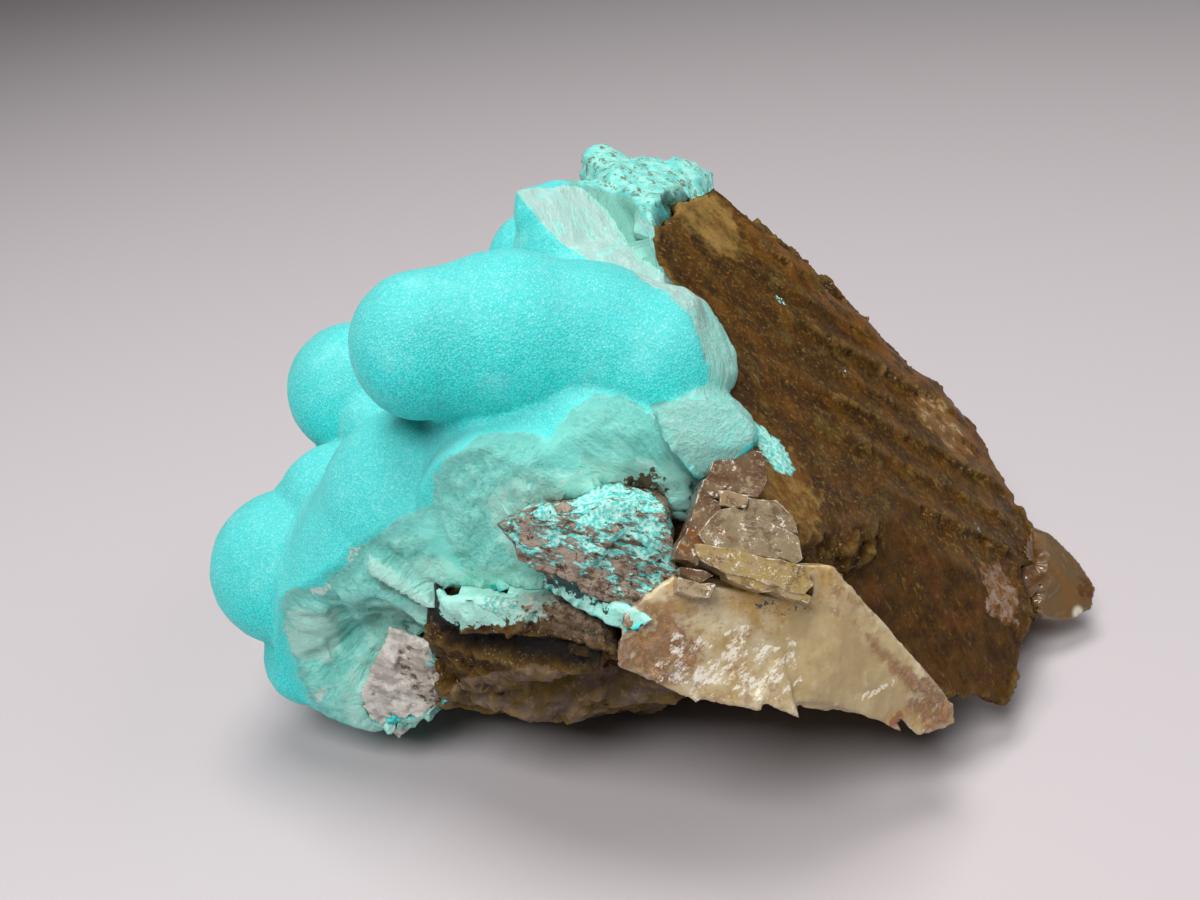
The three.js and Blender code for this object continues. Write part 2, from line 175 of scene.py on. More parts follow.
def awayFrom(points, *route):  # distance from a point, or from a line through several
    stops = [np.array(stop, float) for stop in route]
    nearest = np.full(len(points), 1e9)
    for start, end in zip(stops, stops[1:] or stops):
        span = end - start
        along = np.clip((points - start) @ span / max(span @ span, 1e-9), 0, 1)
        nearest = np.minimum(nearest, np.linalg.norm(points - start - along[:, None] * span, axis=1))
    return nearest


def near(points, radius, *route):  # 1 within a third of the radius of the route, 0 beyond the radius
    return 1 - ramp(awayFrom(points, *route), 0.35 * radius, radius)


def inBox(points, low, high):
    return ((points > low) & (points < high)).all(axis=1)


def outlineDepth(flat, outline):  # how far inside a flat outline the points lie, negative outside
    corners = np.array(outline, float)
    inside = np.zeros(len(flat), bool)
    for start, end in zip(corners, np.roll(corners, -1, axis=0)):
        crosses = (start[1] > flat[:, 1]) != (end[1] > flat[:, 1])
        rise = (end[1] - start[1]) or 1e-9
        inside ^= crosses & (flat[:, 0] < start[0] + (flat[:, 1] - start[1]) * (end[0] - start[0]) / rise)
    distance = awayFrom(flat, *corners, corners[0])
    return np.where(inside, distance, -distance)


def flatAlong(points, way):  # places as seen along a way, on an upright plane
    slip = points[:, 1:2] / way[1]
    return points[:, [0, 2]] - slip * way[[0, 2]]


def readPoints(mesh):  # mm, in the drawing's frame
    flat = np.empty(len(mesh.vertices) * 3, np.float32)
    mesh.vertices.foreach_get("co", flat)
    return flat.reshape(-1, 3).astype(float) / mm - drawingShift


def writePoints(mesh, points):
    mesh.vertices.foreach_set("co", ((points + drawingShift) * mm).astype(np.float32).ravel())
    mesh.update()


def readNormals(mesh):
    flat = np.empty(len(mesh.vertices) * 3, np.float32)
    mesh.vertices.foreach_get("normal", flat)
    return flat.reshape(-1, 3).astype(float)


def spread(mesh, values, times):  # each value drawn towards its neighbours'
    ends = np.empty(len(mesh.edges) * 2, np.int32)
    mesh.edges.foreach_get("vertices", ends)
    first, second = ends[0::2], ends[1::2]
    count = 1 + np.bincount(ends, minlength=len(mesh.vertices)).astype(float)
    for _ in range(times):
        columns = values if values.ndim == 2 else values[:, None]
        total = columns.copy()
        for column in range(columns.shape[1]):
            total[:, column] += np.bincount(first, columns[second, column], len(mesh.vertices))
            total[:, column] += np.bincount(second, columns[first, column], len(mesh.vertices))
        total /= count[:, None]
        values = total if values.ndim == 2 else total[:, 0]
    return values


# 1 where the surface stands out from its surroundings by full, in mm; a negative full finds hollows
def outerEdges(mesh, points, reach, full):
    lift = ((points - spread(mesh, points, reach)) * readNormals(mesh)).sum(axis=1)
    return np.clip(lift / full, 0, 1)


def keepOn(mesh, **named):  # values per vertex that the materials read
    for name, values in named.items():
        if values.ndim == 2:
            kept = mesh.attributes.new(name, "FLOAT_VECTOR", "POINT")
            kept.data.foreach_set("vector", values.astype(np.float32).ravel())
        else:
            kept = mesh.attributes.new(name, "FLOAT", "POINT")
            kept.data.foreach_set("value", values.astype(np.float32))


def keepZones(mesh, points, zones, share=1.0):  # each has places: a radius, and a point or a line of points
    for name, places in zones.items():
        keepOn(mesh, **{name: np.max([near(points, *place) for place in places], axis=0) * share})


def onPlane(mesh, points, place, facing, alike, reach):  # the parts that face one way and lie near a plane
    held = (readNormals(mesh) @ facing > alike) & (np.abs((points - place) @ facing) < reach)
    return spread(mesh, held.astype(float), 2)


def newPiece(shape, pieceName):
    bmesh.ops.recalc_face_normals(shape, faces=shape.faces)
    mesh = bpy.data.meshes.new(pieceName)
    shape.to_mesh(mesh)
    shape.free()
    piece = bpy.data.objects.new(pieceName, mesh)
    bpy.context.scene.collection.objects.link(piece)
    return piece


def dropCrumbs(mesh, fewest=20):  # single voxels that the remesh leaves beside thin edges
    held = bmesh.new()
    held.from_mesh(mesh)
    unseen = set(held.verts)
    crumbs = []
    while unseen:
        island = [unseen.pop()]
        for vert in island:
            for edge in vert.link_edges:
                other = edge.other_vert(vert)
                if other in unseen:
                    unseen.discard(other)
                    island.append(other)
        if len(island) < fewest:
            crumbs += island
    bmesh.ops.delete(held, geom=crumbs, context="VERTS")
    held.to_mesh(mesh)
    held.free()


def remeshed(nodeName, pieceName, voxel, lumps=()):  # lumps: corners of convex solids grown onto it
    shape = bmesh.new()
    shape.from_mesh(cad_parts[nodeName].data)
    bmesh.ops.remove_doubles(shape, verts=shape.verts, dist=1e-6)
    for corners in lumps:
        places = (np.array(corners, float) + drawingShift) * mm
        verts = [shape.verts.new(place) for place in places]
        bmesh.ops.convex_hull(shape, input=verts)
    piece = newPiece(shape, pieceName)
    voxels = piece.modifiers.new("voxels", "REMESH")
    voxels.mode = "VOXEL"
    voxels.voxel_size = voxel * mm
    graph = bpy.context.evaluated_depsgraph_get()
    piece.data = bpy.data.meshes.new_from_object(piece.evaluated_get(graph))
    piece.modifiers.clear()
    dropCrumbs(piece.data)
    piece.data.name = pieceName
    piece.data.materials.clear()
    print(pieceName, len(piece.data.polygons), "faces")
    return piece


def surfaceOf(piece):  # for finding the nearest place on a finished piece
    held = bmesh.new()
    held.from_mesh(piece.data)
    surface = BVHTree.FromBMesh(held)
    held.free()
    return surface


# closes narrow gaps to the neighbours, up to a thin seam; gives the distances that there were, in mm
def growOnto(points, surfaces, reach, allowed, seam=0.06, farthest=20.0):
    distances = np.full(len(points), farthest)
    for index in np.nonzero(allowed)[0]:
        spot = Vector((points[index] + drawingShift) * mm)
        for surface in surfaces:
            place, *_, distance = surface.find_nearest(spot)
            if distance / mm < distances[index]:
                distances[index] = distance / mm
                onto = place + (spot - place).normalized() * seam * mm
        if distances[index] < reach[index]:
            points[index] = np.array(onto) / mm - drawingShift
    return distances


def dress(piece, material, slot, *nodes):
    piece.data.materials.append(material)
    piece.data.polygons.foreach_set("use_smooth", np.ones(len(piece.data.polygons), bool))
    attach(piece, "root")
    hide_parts(*nodes)


class Finish:  # a material, with short ways to add and join its nodes; its look names tones and patterns
    def __init__(self, name, look):
        self.look = look
        self.material = bpy.data.materials.new(name)
        self.material.use_nodes = True
        self.tree = self.material.node_tree
        self.shader = self.tree.nodes["Principled BSDF"]
        self.place = self.tree.nodes.new("ShaderNodeTexCoord").outputs["Object"]

    def join(self, value, socket):
        if isinstance(value, bpy.types.NodeSocket):
            self.tree.links.new(value, socket)
        elif isinstance(value, str):
            socket.default_value = (*self.look["tones"][value], 1)
        else:
            socket.default_value = value

    def set(self, name, value):
        self.join(value, self.shader.inputs[name])

    def kept(self, name, output="Fac"):
        node = self.tree.nodes.new("ShaderNodeAttribute")
        node.attribute_name = name
        return node.outputs[output]

    def noise(self, size, detail, rough, place=None):  # size in mm, and so are places kept on the mesh
        node = self.tree.nodes.new("ShaderNodeTexNoise")
        self.join(place or self.place, node.inputs["Vector"])
        node.inputs["Scale"].default_value = 1 / size if place else 1 / (size * mm)
        node.inputs["Detail"].default_value = detail
        node.inputs["Roughness"].default_value = rough
        return node.outputs["Fac"]

    def pattern(self, name, place=None):
        return self.noise(*self.look["noise"][name], place)

    def cells(self, size, output="Distance"):
        node = self.tree.nodes.new("ShaderNodeTexVoronoi")
        self.join(self.place, node.inputs["Vector"])
        node.inputs["Scale"].default_value = 1 / (size * mm)
        return node.outputs[output]

    def band(self, value, low, high, toLow=0.0, toHigh=1.0):
        node = self.tree.nodes.new("ShaderNodeMapRange")
        node.interpolation_type = "SMOOTHSTEP"
        given = {"Value": value, "From Min": low, "From Max": high, "To Min": toLow, "To Max": toHigh}
        for name, setting in given.items():
            self.join(setting, node.inputs[name])
        return node.outputs["Result"]

    def patches(self, name, place=None):  # noise that is weak below one value and full above another
        size, detail, rough, low, high, *strengths = self.look["patches"][name]
        return self.band(self.noise(size, detail, rough, place), low, high, *strengths)

    def line(self, value, middle, reach, full=1.0):  # full at the middle, 0 beyond the reach
        away = self.sum("ABSOLUTE", self.sum("SUBTRACT", value, middle))
        return self.band(away, 0.0, reach, full, 0.0)

    def sum(self, operation, *values):
        node = self.tree.nodes.new("ShaderNodeMath")
        node.operation = operation
        for value, socket in zip(values, node.inputs):
            self.join(value, socket)
        return node.outputs["Value"]

    def times(self, *values):
        total = values[0]
        for value in values[1:]:
            total = self.sum("MULTIPLY", total, value)
        return total

    def faded(self, pattern, share):  # a noise pattern that fades to its mean
        return self.sum("ADD", self.times(self.sum("SUBTRACT", pattern, 0.5), share), 0.5)

    def zone(self, name):  # a value kept on the mesh, with its edge made ragged with noise
        size, amount, low, high = self.look["edges"][name]
        ragged = self.band(self.noise(size, 4, 0.62), 0.2, 0.8, -amount, amount)
        return self.band(self.sum("ADD", self.kept(name), ragged), low, high)

    def most(self, *values):
        total = values[0]
        for value in values[1:]:
            total = self.sum("MAXIMUM", total, value)
        return total

    def mix(self, share, first, second):
        node = self.tree.nodes.new("ShaderNodeMix")
        node.data_type = "RGBA"
        self.join(share, node.inputs["Factor"])
        self.join(first, node.inputs[6])
        self.join(second, node.inputs[7])
        return node.outputs[2]

    def covered(self, colour, *covers):  # named tones laid over a colour, one after another
        for share, name in covers:
            colour = self.mix(share, colour, name)
        return colour

    def mixNormals(self, share, first, second):
        node = self.tree.nodes.new("ShaderNodeMix")
        node.data_type = "VECTOR"
        self.join(share, node.inputs[0])
        self.join(first, node.inputs[4])
        self.join(second, node.inputs[5])
        return node.outputs[1]

    def bump(self, height, depth, strength):  # depth in mm
        node = self.tree.nodes.new("ShaderNodeBump")
        node.inputs["Strength"].default_value = strength
        node.inputs["Distance"].default_value = depth * mm
        self.join(height, node.inputs["Height"])
        return node.outputs["Normal"]

    def seeThrough(self, cloudy):  # clear stone that is cloudy in places
        glass = self.look["glass"]
        passing = self.band(cloudy, 0.0, glass["cloudyAt"], glass["clear"], glass["cloudy"])
        self.set("Transmission Weight", passing)
        self.set("Roughness", glass["roughness"])
        self.set("IOR", glass["ior"])
        inside = self.tree.nodes.new("ShaderNodeVolumeAbsorption")
        inside.inputs["Color"].default_value = (*glass["inside"], 1)
        inside.inputs["Density"].default_value = glass["density"]  # per metre
        self.join(inside.outputs["Volume"], self.tree.nodes["Material Output"].inputs["Volume"])


brownShape = {
    "voxel": 0.52,
    "slab": (0.90, 1.8),  # the big face: how alike its normals are, and its reach from the plane in mm
    "front": (0.93, 1.5),
    "slabFlatness": 0.7,
    "slabStretch": (0.30, 1.0, 1.0),  # its grain runs along the ledges
    "slabWaver": [(0.5, 11.0, 30)],
    "ledgeHeight": 0.15,
    "ledgeSpacing": 2.6,
    "ledgeWaver": [(0.30, 4.0, 31)],
    "ledgesFrom": (-2, 14),  # how far below the top they start, and where they are full
    "slabStreaks": [(0.04, 1.4, 32)],
    "slabSwell": [(0.10, 7.0, 33, 2), (0.05, 1.6, 39)],
    "frontStretch": (1.0, 0.35, 0.35),
    "frontStreaks": [(0.08, 0.9, 35, 2)],
    "frontSwell": [(0.09, 6.0, 36, 2)],
    "frontFacets": [(0.03, 3.0, 37)],
    "rockFacets": [(0.95, 4.2, 34), (0.30, 1.6, 41)],
    "rockSwell": [(0.15, 5.0, 38, 2)],
    "knobLean": 0.35,  # radians
    "knobStretch": (0.5, 1.0, 1.4),
    "druse": [  # where blue-green crystals lie on it: a point, a radius, and how thick they lie
        ((-5, -38.6, 41.4), 5.0, 0.55), ((1.5, -39, 40.6), 6.0, 0.60), ((6, -40, 39.4), 5.0, 0.60),
        ((1, -36.6, 42.6), 4.6, 0.95), ((5, -37.4, 42.2), 3.6, 0.95), ((4, -41, 35.8), 4.2, 0.50),
        ((19.2, -27.8, 40.4), 3.2, 1.0), ((18, -27, 42), 2.6, 1.0), ((-17, -33.8, 31.4), 2.2, 0.5),
        ((-9.7, -37.2, 32.9), 2.6, 0.5),
    ],
    "druseHeight": 0.22,
    "drawnIn": (4.0, (-18.9, -32.4, 30.8)),  # the rock's corner is moved back behind the crust
    "drawnInBy": 5.5,
    # a groove, painted near black inside as the shadow that fills it
    "crack": (2.0, (-15.2, -33.7, 25.7), (-10.4, -36.9, 26.5), (-5.3, -39.9, 27.3), (-0.5, -41.9, 27.1)),
    "crackDepth": 1.5,
    "underside": [  # the paler break under the lower rock, outlined as seen from the front
        (-24.5, -25.9, 7.6), (-15.1, -32, 19.5), (-7.8, -38.1, 24.9), (-0.2, -33.8, 20.5), (9, -36, 20),
        (9, -30, 0), (-24, -22, 0),
    ],
    "zones": {  # each a radius, and a point or a line of points
        "lap": [  # crust over the rock
            (5.6, (-13.6, -33.6, 31.4), (-9.3, -35.6, 32.2), (-5.5, -35.6, 32.2)),
        ],
        # the crevice between the knob and the mint tongue: its dark fibres, painted darker as shade
        "darkFibresAndShadedCrevice": [(5.0, (-16.4, -33.4, 29.6))],
        "topEnd": [(11, (16, 8, 55))],
        "shoulder": [(9.5, (19, -31.5, 39.5))],
        "tanEdge": [(6.2, (46.5, -19.5, 14.5))],
        "window": [(8.5, (46, 3.5, 25))],  # a clearer, amber place on the big face
        "knob": [(11, (-4.7, -39, 39), (6, -41, 36.5))],
    },
    "slabZones": {
        "ridge": [(7.0, (17, 13, 56), (30, 12, 45), (40, 12, 34), (50, 8, 22), (57, 2, 13))],
        "flecks": [
            (1.6, (24.7, 1.4, 45)), (1.6, (33.5, 2.7, 37)), (1.6, (31, -3, 36.5)), (1.6, (45, -13, 19)),
        ],
    },
}
brownLook = {
    "tones": {
        "brown": (0.082, 0.032, 0.0012),
        "dark": (0.034, 0.0135, 0.0010),
        "rust": (0.185, 0.068, 0.0050),
        "olive": (0.120, 0.080, 0.016),
        "tan": (0.360, 0.225, 0.060),
        "cream": (0.560, 0.420, 0.230),
        "amber": (0.240, 0.120, 0.036),
        "redBrown": (0.110, 0.036, 0.010),
        "lilac": (0.150, 0.108, 0.090),
        "knob": (0.120, 0.086, 0.060),
        # near black: the knob's dark specks, and painted shade in the crack and the crevice
        "darkSpecksAndPaintedShade": (0.014, 0.013, 0.012),
        "aqua": (0.110, 0.620, 0.570),
        "frost": (0.500, 0.860, 0.770),
        "pink": (0.440, 0.340, 0.270),
        "mint": (0.440, 0.920, 0.790),
    },
    "noise": {  # size in mm, detail, roughness
        "fine": (0.50, 6, 0.78),
        "mottle": (4.2, 7, 0.72),
        "growth": (1.9, 3, 0.6),
        "grains": (0.60, 5, 0.7),
    },
    "patches": {  # noise, as above, then where it is weak and full, and its strength at those
        "rust": (5.0, 6, 0.70, 0.50, 0.66, 0.0, 0.5),
        "ridge": (2.5, 4, 0.55, 0.35, 0.6, 0.0, 0.8),
        "olive": (3.6, 7, 0.74, 0.52, 0.64, 0.0, 0.8),
        "lines": (3.0, 5, 0.7, 0.40, 0.60),
        "front": (2.6, 6, 0.7, 0.40, 0.62),
        "reddish": (4.0, 5, 0.65, 0.50, 0.66, 0.0, 0.6),
        "specks": (0.34, 4, 0.7, 0.58, 0.64, 0.0, 0.9),
        "speckled": (3.0, 4, 0.55, 0.42, 0.60),
        "under": (3.4, 6, 0.7, 0.42, 0.60),
        "pinkish": (1.6, 6, 0.75, 0.52, 0.66, 0.0, 0.5),
        "lap": (0.7, 6, 0.75, 0.42, 0.58),
        "crushed": (1.1, 8, 0.8, 0.42, 0.56),
        "darkSpecksAndPaintedShade": (0.7, 7, 0.8, 0.40, 0.48, 0.9, 0.0),
        "druseEdge": (1.2, 9, 0.78, 0.30, 0.70, -0.60, 0.60),
        "druse": (0.40, 3, 0.55, 0.4, 0.6),
        "gloss": (1.5, 4, 0.55, 0.3, 0.7, 0.22, 0.50),
        "shoulder": (1.8, 6, 0.7, 0.40, 0.60),
        "window": (1.6, 7, 0.75, 0.52, 0.60),
        "tanEdge": (1.2, 7, 0.78, 0.40, 0.64),
    },
    "edges": {  # how a zone's edge frays: size in mm and amount, then where the zone starts and is full
        "topEnd": (2.5, 0.4, 0.3, 0.9),
        "under": (1.5, 0.3, 0.40, 0.60),
        "darkFibresAndShadedCrevice": (1.0, 0.4, 0.45, 0.7),
        "lap": (1.1, 0.34, 0.62, 0.74),
        "flecks": (0.4, 0.7, 1.0, 1.2),
        "shoulder": (2.0, 0.6, 0.40, 0.8),
        "window": (3.0, 0.6, 0.5, 1.0),
        "tanEdge": (1.4, 0.5, 0.55, 0.85),
    },
    "covers": {  # zones mottled in two tones: the tones and the zone's strength
        "shoulder": ("rust", "tan", 0.6),
        "window": ("amber", "cream", 0.7),
        "tanEdge": ("rust", "pink", 0.75),
    },
}


def shapeBrown():
    shape = brownShape
    piece = remeshed("brown_calcite_matrix", "brownCalcite", shape["voxel"])
    mesh = piece.data
    points, normals = readPoints(mesh), readNormals(mesh)
    slab = onPlane(mesh, points, slopeTop, slopeFacing, *shape["slab"])
    front = onPlane(mesh, points, frontPlace, frontFacing, *shape["front"])
    rough = (1 - slab) * (1 - front)
    fromTop = points - slopeTop
    along, across, over = fromTop @ ledgeRun, fromTop @ ledgeBack, fromTop @ slopeFacing
    wavered = across + layered(points, shape["slabWaver"])
    slabPlace = np.stack([along, wavered, over], axis=1) * np.array(shape["slabStretch"])
    sideways = points @ np.cross(frontFacing, (0, 0, 1))
    grainPlace = np.stack([sideways, points[:, 2], points[:, 1]], axis=1) * np.array(shape["frontStretch"])
    knobPlace = points @ Matrix.Rotation(shape["knobLean"], 3, "Y") * np.array(shape["knobStretch"])
    low = ramp(across + 0.35 * along, *shape["ledgesFrom"])
    step = slabPlace[:, 1] / shape["ledgeSpacing"] + layered(slabPlace, shape["ledgeWaver"])
    ledges = (step - np.floor(step)) * low * shape["ledgeHeight"]
    ledges += layered(slabPlace, shape["slabStreaks"]) + layered(points, shape["slabSwell"])
    grain = layered(grainPlace, shape["frontStreaks"]) + layered(points, shape["frontSwell"])
    grain += layered(points, shape["frontFacets"], facets)
    chips = layered(points, shape["rockFacets"], facets) + layered(points, shape["rockSwell"])

    points += (spread(mesh, points, 8) - points) * (shape["slabFlatness"] * slab)[:, None]
    points[:, 1] += shape["drawnInBy"] * near(points, *shape["drawnIn"])
    points += normals * (slab * ledges + front * grain)[:, None]
    points += normals * (rough * chips * ramp(points[:, 2], 0.3, 3.0))[:, None]  # flat at the base
    crack = near(points, *shape["crack"])
    points -= normals * (shape["crackDepth"] * crack)[:, None]
    points[:, 2] = np.where(points[:, 2] < 0.35, 0, points[:, 2])
    druse = np.zeros(len(points))
    for place, radius, thickness in shape["druse"]:
        share = 1 - ramp(awayFrom(points, place), radius * 0.45, radius * 1.15)
        druse = np.maximum(druse, thickness * share)
    crumbs = shape["druseHeight"] * ramp(noise(points, 0.9, 42, 2), -0.2, 0.6)
    points += normals * (druse * crumbs)[:, None]
    writePoints(mesh, points)

    flat = flatAlong(points, breakView)
    underDepth = outlineDepth(flat, flatAlong(np.array(shape["underside"]), breakView))
    keepOn(mesh, slab=slab, front=front, low=low * slab, growth=slabPlace[:, 1], grainPlace=grainPlace)
    keepOn(mesh, knobPlace=knobPlace, druse=druse, crack=crack, under=ramp(underDepth, -0.8, 0.8))
    keepOn(mesh, edge=outerEdges(mesh, points, 3, 0.22))
    keepZones(mesh, points, shape["zones"])
    keepZones(mesh, points, shape["slabZones"], slab)
    return piece


def brownMaterial():
    stone = Finish("brownCalcite", brownLook)
    slab, front = stone.kept("slab"), stone.kept("front")
    fine, mottle = stone.pattern("fine"), stone.pattern("mottle")
    colour = stone.mix(stone.band(mottle, 0.40, 0.62), "dark", "brown")
    onRidge = stone.times(stone.kept("ridge"), stone.patches("ridge"))
    colour = stone.mix(stone.most(stone.patches("rust"), onRidge), colour, "rust")
    colour = stone.mix(stone.patches("olive"), colour, "olive")
    # light specks: the stone's own pale grains, and painted glints in place of its sparkle
    colour = stone.mix(stone.band(fine, 0.53, 0.64, 0.0, 0.62), colour, "tan")
    colour = stone.mix(stone.band(fine, 0.30, 0.44, 0.8, 0.0), colour, "dark")
    topEnd = stone.times(stone.zone("topEnd"), stone.band(mottle, 0.36, 0.6, 0.2, 0.8))
    colour = stone.mix(topEnd, colour, "tan")
    growth = stone.pattern("growth", stone.kept("growth"))
    lines = stone.times(stone.kept("low"), stone.line(growth, 0.52, 0.030, 0.6))
    colour = stone.mix(stone.times(lines, stone.patches("lines")), colour, "tan")

    grains = stone.pattern("grains", stone.kept("grainPlace", "Vector"))
    frontTone = stone.mix(stone.patches("front"), "dark", "brown")
    frontTone = stone.mix(stone.patches("reddish"), frontTone, "redBrown")
    frontTone = stone.mix(stone.band(grains, 0.56, 0.72, 0.0, 0.45), frontTone, "tan")
    colour = stone.mix(stone.times(front, 0.85), colour, frontTone)
    for name, (first, second, strength) in brownLook["covers"].items():
        mottled = stone.mix(stone.patches(name), first, second)
        colour = stone.mix(stone.times(stone.zone(name), strength), colour, mottled)

    rock = stone.sum("SUBTRACT", 1.0, stone.most(slab, front))
    colour = stone.mix(stone.times(rock, stone.band(mottle, 0.40, 0.60, 0.85, 0.15)), colour, "dark")
    # cream specks on the rough rock: its pale grains, and painted glints
    specks = stone.times(stone.patches("specks"), rock, stone.patches("speckled"))
    colour = stone.mix(specks, colour, "cream")
    underTone = stone.mix(stone.patches("under"), "lilac", "olive")
    underTone = stone.mix(stone.patches("pinkish"), underTone, "pink")
    under = stone.times(stone.zone("under"), rock, 0.85)
    colour = stone.mix(under, colour, underTone)
    colour = stone.mix(stone.times(stone.kept("edge"), 0.35), colour, "tan")
    # painted shade: the crack and the crevice are near black
    darkSpecksAndPaintedShade = stone.most(stone.kept("crack"), stone.zone("darkFibresAndShadedCrevice"))
    colour = stone.mix(darkSpecksAndPaintedShade, colour, "darkSpecksAndPaintedShade")
    lapTone = stone.mix(stone.patches("lap"), "mint", "frost")
    colour = stone.mix(stone.zone("lap"), colour, lapTone)
    colour = stone.mix(stone.zone("flecks"), colour, "frost")

    knobPlace = stone.kept("knobPlace", "Vector")
    crushedTone = stone.mix(stone.patches("crushed", place=knobPlace), "knob", "pink")
    crushedTone = stone.mix(stone.patches("darkSpecksAndPaintedShade"), crushedTone, "darkSpecksAndPaintedShade")
    colour = stone.mix(stone.times(stone.kept("knob"), 0.92), colour, crushedTone)
    ragged = stone.patches("druseEdge", place=knobPlace)
    covered = stone.band(stone.sum("ADD", stone.kept("druse"), ragged), 0.52, 0.62)
    druseTone = stone.mix(stone.patches("druse"), "aqua", "frost")
    stone.set("Base Color", stone.mix(covered, colour, druseTone))
    stone.set("Roughness", stone.most(stone.patches("gloss"), stone.times(covered, 0.7)))
    stone.set("Specular IOR Level", 0.10)
    height = stone.sum("ADD", stone.times(fine, 1.3), stone.times(grains, front, 0.7))
    height = stone.sum("ADD", height, stone.times(covered, 0.9))
    stone.set("Normal", stone.bump(height, 0.26, 0.9))
    return stone.material


brown = shapeBrown()
dress(brown, brownMaterial(), "brown_calcite", "brown_calcite_matrix")
print("the brown calcite is shaped")


splinterLean = -0.75  # radians
splinterStretch = np.array([0.40, 1.0, 1.0])


def chipped(nodeName, pieceName, shape, seed):  # a calcite piece, chipped, grown onto the brown calcite
    piece = remeshed(nodeName, pieceName, shape["voxel"])
    points, normals = readPoints(piece.data), readNormals(piece.data)
    chips = facets(points, shape["chip"], seed) + 0.4 * facets(points, shape["chip"] * 0.4, seed + 10)
    points += normals * (chips * shape["chipDepth"])[:, None]
    points[:, 2] = np.maximum(points[:, 2], 0.02)
    growOnto(points, [surfaceOf(brown)], np.full(len(points), shape["grown"]), np.ones(len(points), bool))
    writePoints(piece.data, points)
    leaning = points @ Matrix.Rotation(splinterLean, 3, "Y") * splinterStretch
    keepOn(piece.data, edge=outerEdges(piece.data, points, 3, 0.16), leaning=leaning)
    keepZones(piece.data, points, shape["zones"])
    return piece


honeyShape = {
    "voxel": 0.30,
    "chip": 3.2,
    "chipDepth": 0.15,
    "grown": 0.75,
    "zones": {
        "stain": [
            (7.5, (1, -43, 31), (5, -43.5, 29)), (4.6, (34, -37, 13.5), (32, -37, 16)),
            (1.9, (19, -40, 33), (24, -39, 27), (33, -37, 15)),
        ],
        "clear": [(8.0, (21, -42, 26), (26, -40, 20))],
        "feather": [(5.4, (9, -43.5, 27), (15.5, -43.2, 24.5)), (3.0, (13.5, -43, 29), (14, -43, 26))],
        "green": [(2.2, (15, -42.4, 32.8), (19, -41.6, 31.6))],
        "orange": [(2.0, (29.3, -39.7, 14.2))],
        "scratch": [(0.7, (25.5, -40.8, 18.9), (28.9, -38.9, 19.1))],
    },
}
honeyLook = {
    "tones": {
        "body": (0.74, 0.47, 0.13),
        "pale": (0.92, 0.78, 0.48),
        "clear": (0.68, 0.52, 0.23),
        "stain": (0.115, 0.052, 0.016),
        "rust": (0.360, 0.190, 0.064),
        "white": (0.90, 0.88, 0.78),
        "green": (0.045, 0.070, 0.040),
        "orange": (0.50, 0.17, 0.03),
    },
    "glass": {
        "clear": 0.50,  # how much light passes where it is clear, and where it is cloudy
        "cloudy": 0.05,
        "cloudyAt": 1.0,
        "roughness": 0.22,
        "ior": 1.6,
        "inside": (0.93, 0.80, 0.55),
        "density": 90,
    },
    "patches": {
        "clouds": (4.5, 5, 0.6, 0.38, 0.66),
        "pale": (2.2, 8, 0.72, 0.46, 0.60, 0.0, 0.75),
        "rust": (1.8, 8, 0.74, 0.40, 0.48, 0.55, 0.0),
        "stain": (1.6, 7, 0.78, 0.40, 0.62),
        "splinters": (1.3, 9, 0.82, 0.49, 0.57),
        "specks": (0.45, 5, 0.75, 0.62, 0.68, 0.0, 0.7),
        "rims": (1.0, 4, 0.55, 0.40, 0.60, 0.1, 0.55),
    },
    "edges": {
        "clear": (3.0, 0.25, 0.35, 0.7),
        "stain": (1.6, 0.6, 0.45, 0.95),
        "green": (0.7, 0.7, 1.15, 1.4),
        "orange": (0.8, 0.5, 0.60, 0.9),
        "feather": (1.6, 0.8, 0.55, 0.75),
        "scratch": (0.5, 0.8, 0.8, 1.1),
    },
    "noise": {"bump": (0.9, 7, 0.72)},
}


def honeyMaterial():
    stone = Finish("honeyCalcite", honeyLook)
    zones = {name: stone.zone(name) for name in honeyLook["edges"]}
    clouds = stone.patches("clouds")
    colour = stone.mix(clouds, "body", "pale")
    for name in ("pale", "rust"):
        colour = stone.mix(stone.patches(name), colour, name)
    colour = stone.mix(stone.times(zones["clear"], 0.8), colour, "clear")
    stainTone = stone.mix(stone.patches("stain"), "stain", "rust")
    colour = stone.mix(zones["stain"], colour, stainTone)
    for name in ("green", "orange"):
        colour = stone.mix(zones[name], colour, name)
    splinters = stone.patches("splinters", place=stone.kept("leaning", "Vector"))
    splinters = stone.times(splinters, zones["feather"])
    notClear = stone.sum("SUBTRACT", 1.0, stone.times(zones["clear"], 0.9))
    specks = stone.times(stone.patches("specks"), notClear)
    rims = stone.times(stone.kept("edge"), stone.patches("rims"))
    white = stone.most(splinters, specks, rims, stone.times(zones["scratch"], 0.8))
    stone.set("Base Color", stone.mix(stone.times(white, 0.85), colour, "white"))
    stone.set("Normal", stone.bump(stone.pattern("bump"), 0.10, 0.8))
    cloudy = stone.most(white, stone.most(zones["stain"], stone.times(clouds, 0.4)))
    stone.seeThrough(cloudy)
    return stone.material


honey = chipped("honey_calcite", "honeyCalcite", honeyShape, 51)
dress(honey, honeyMaterial(), "honey_calcite", "honey_calcite")

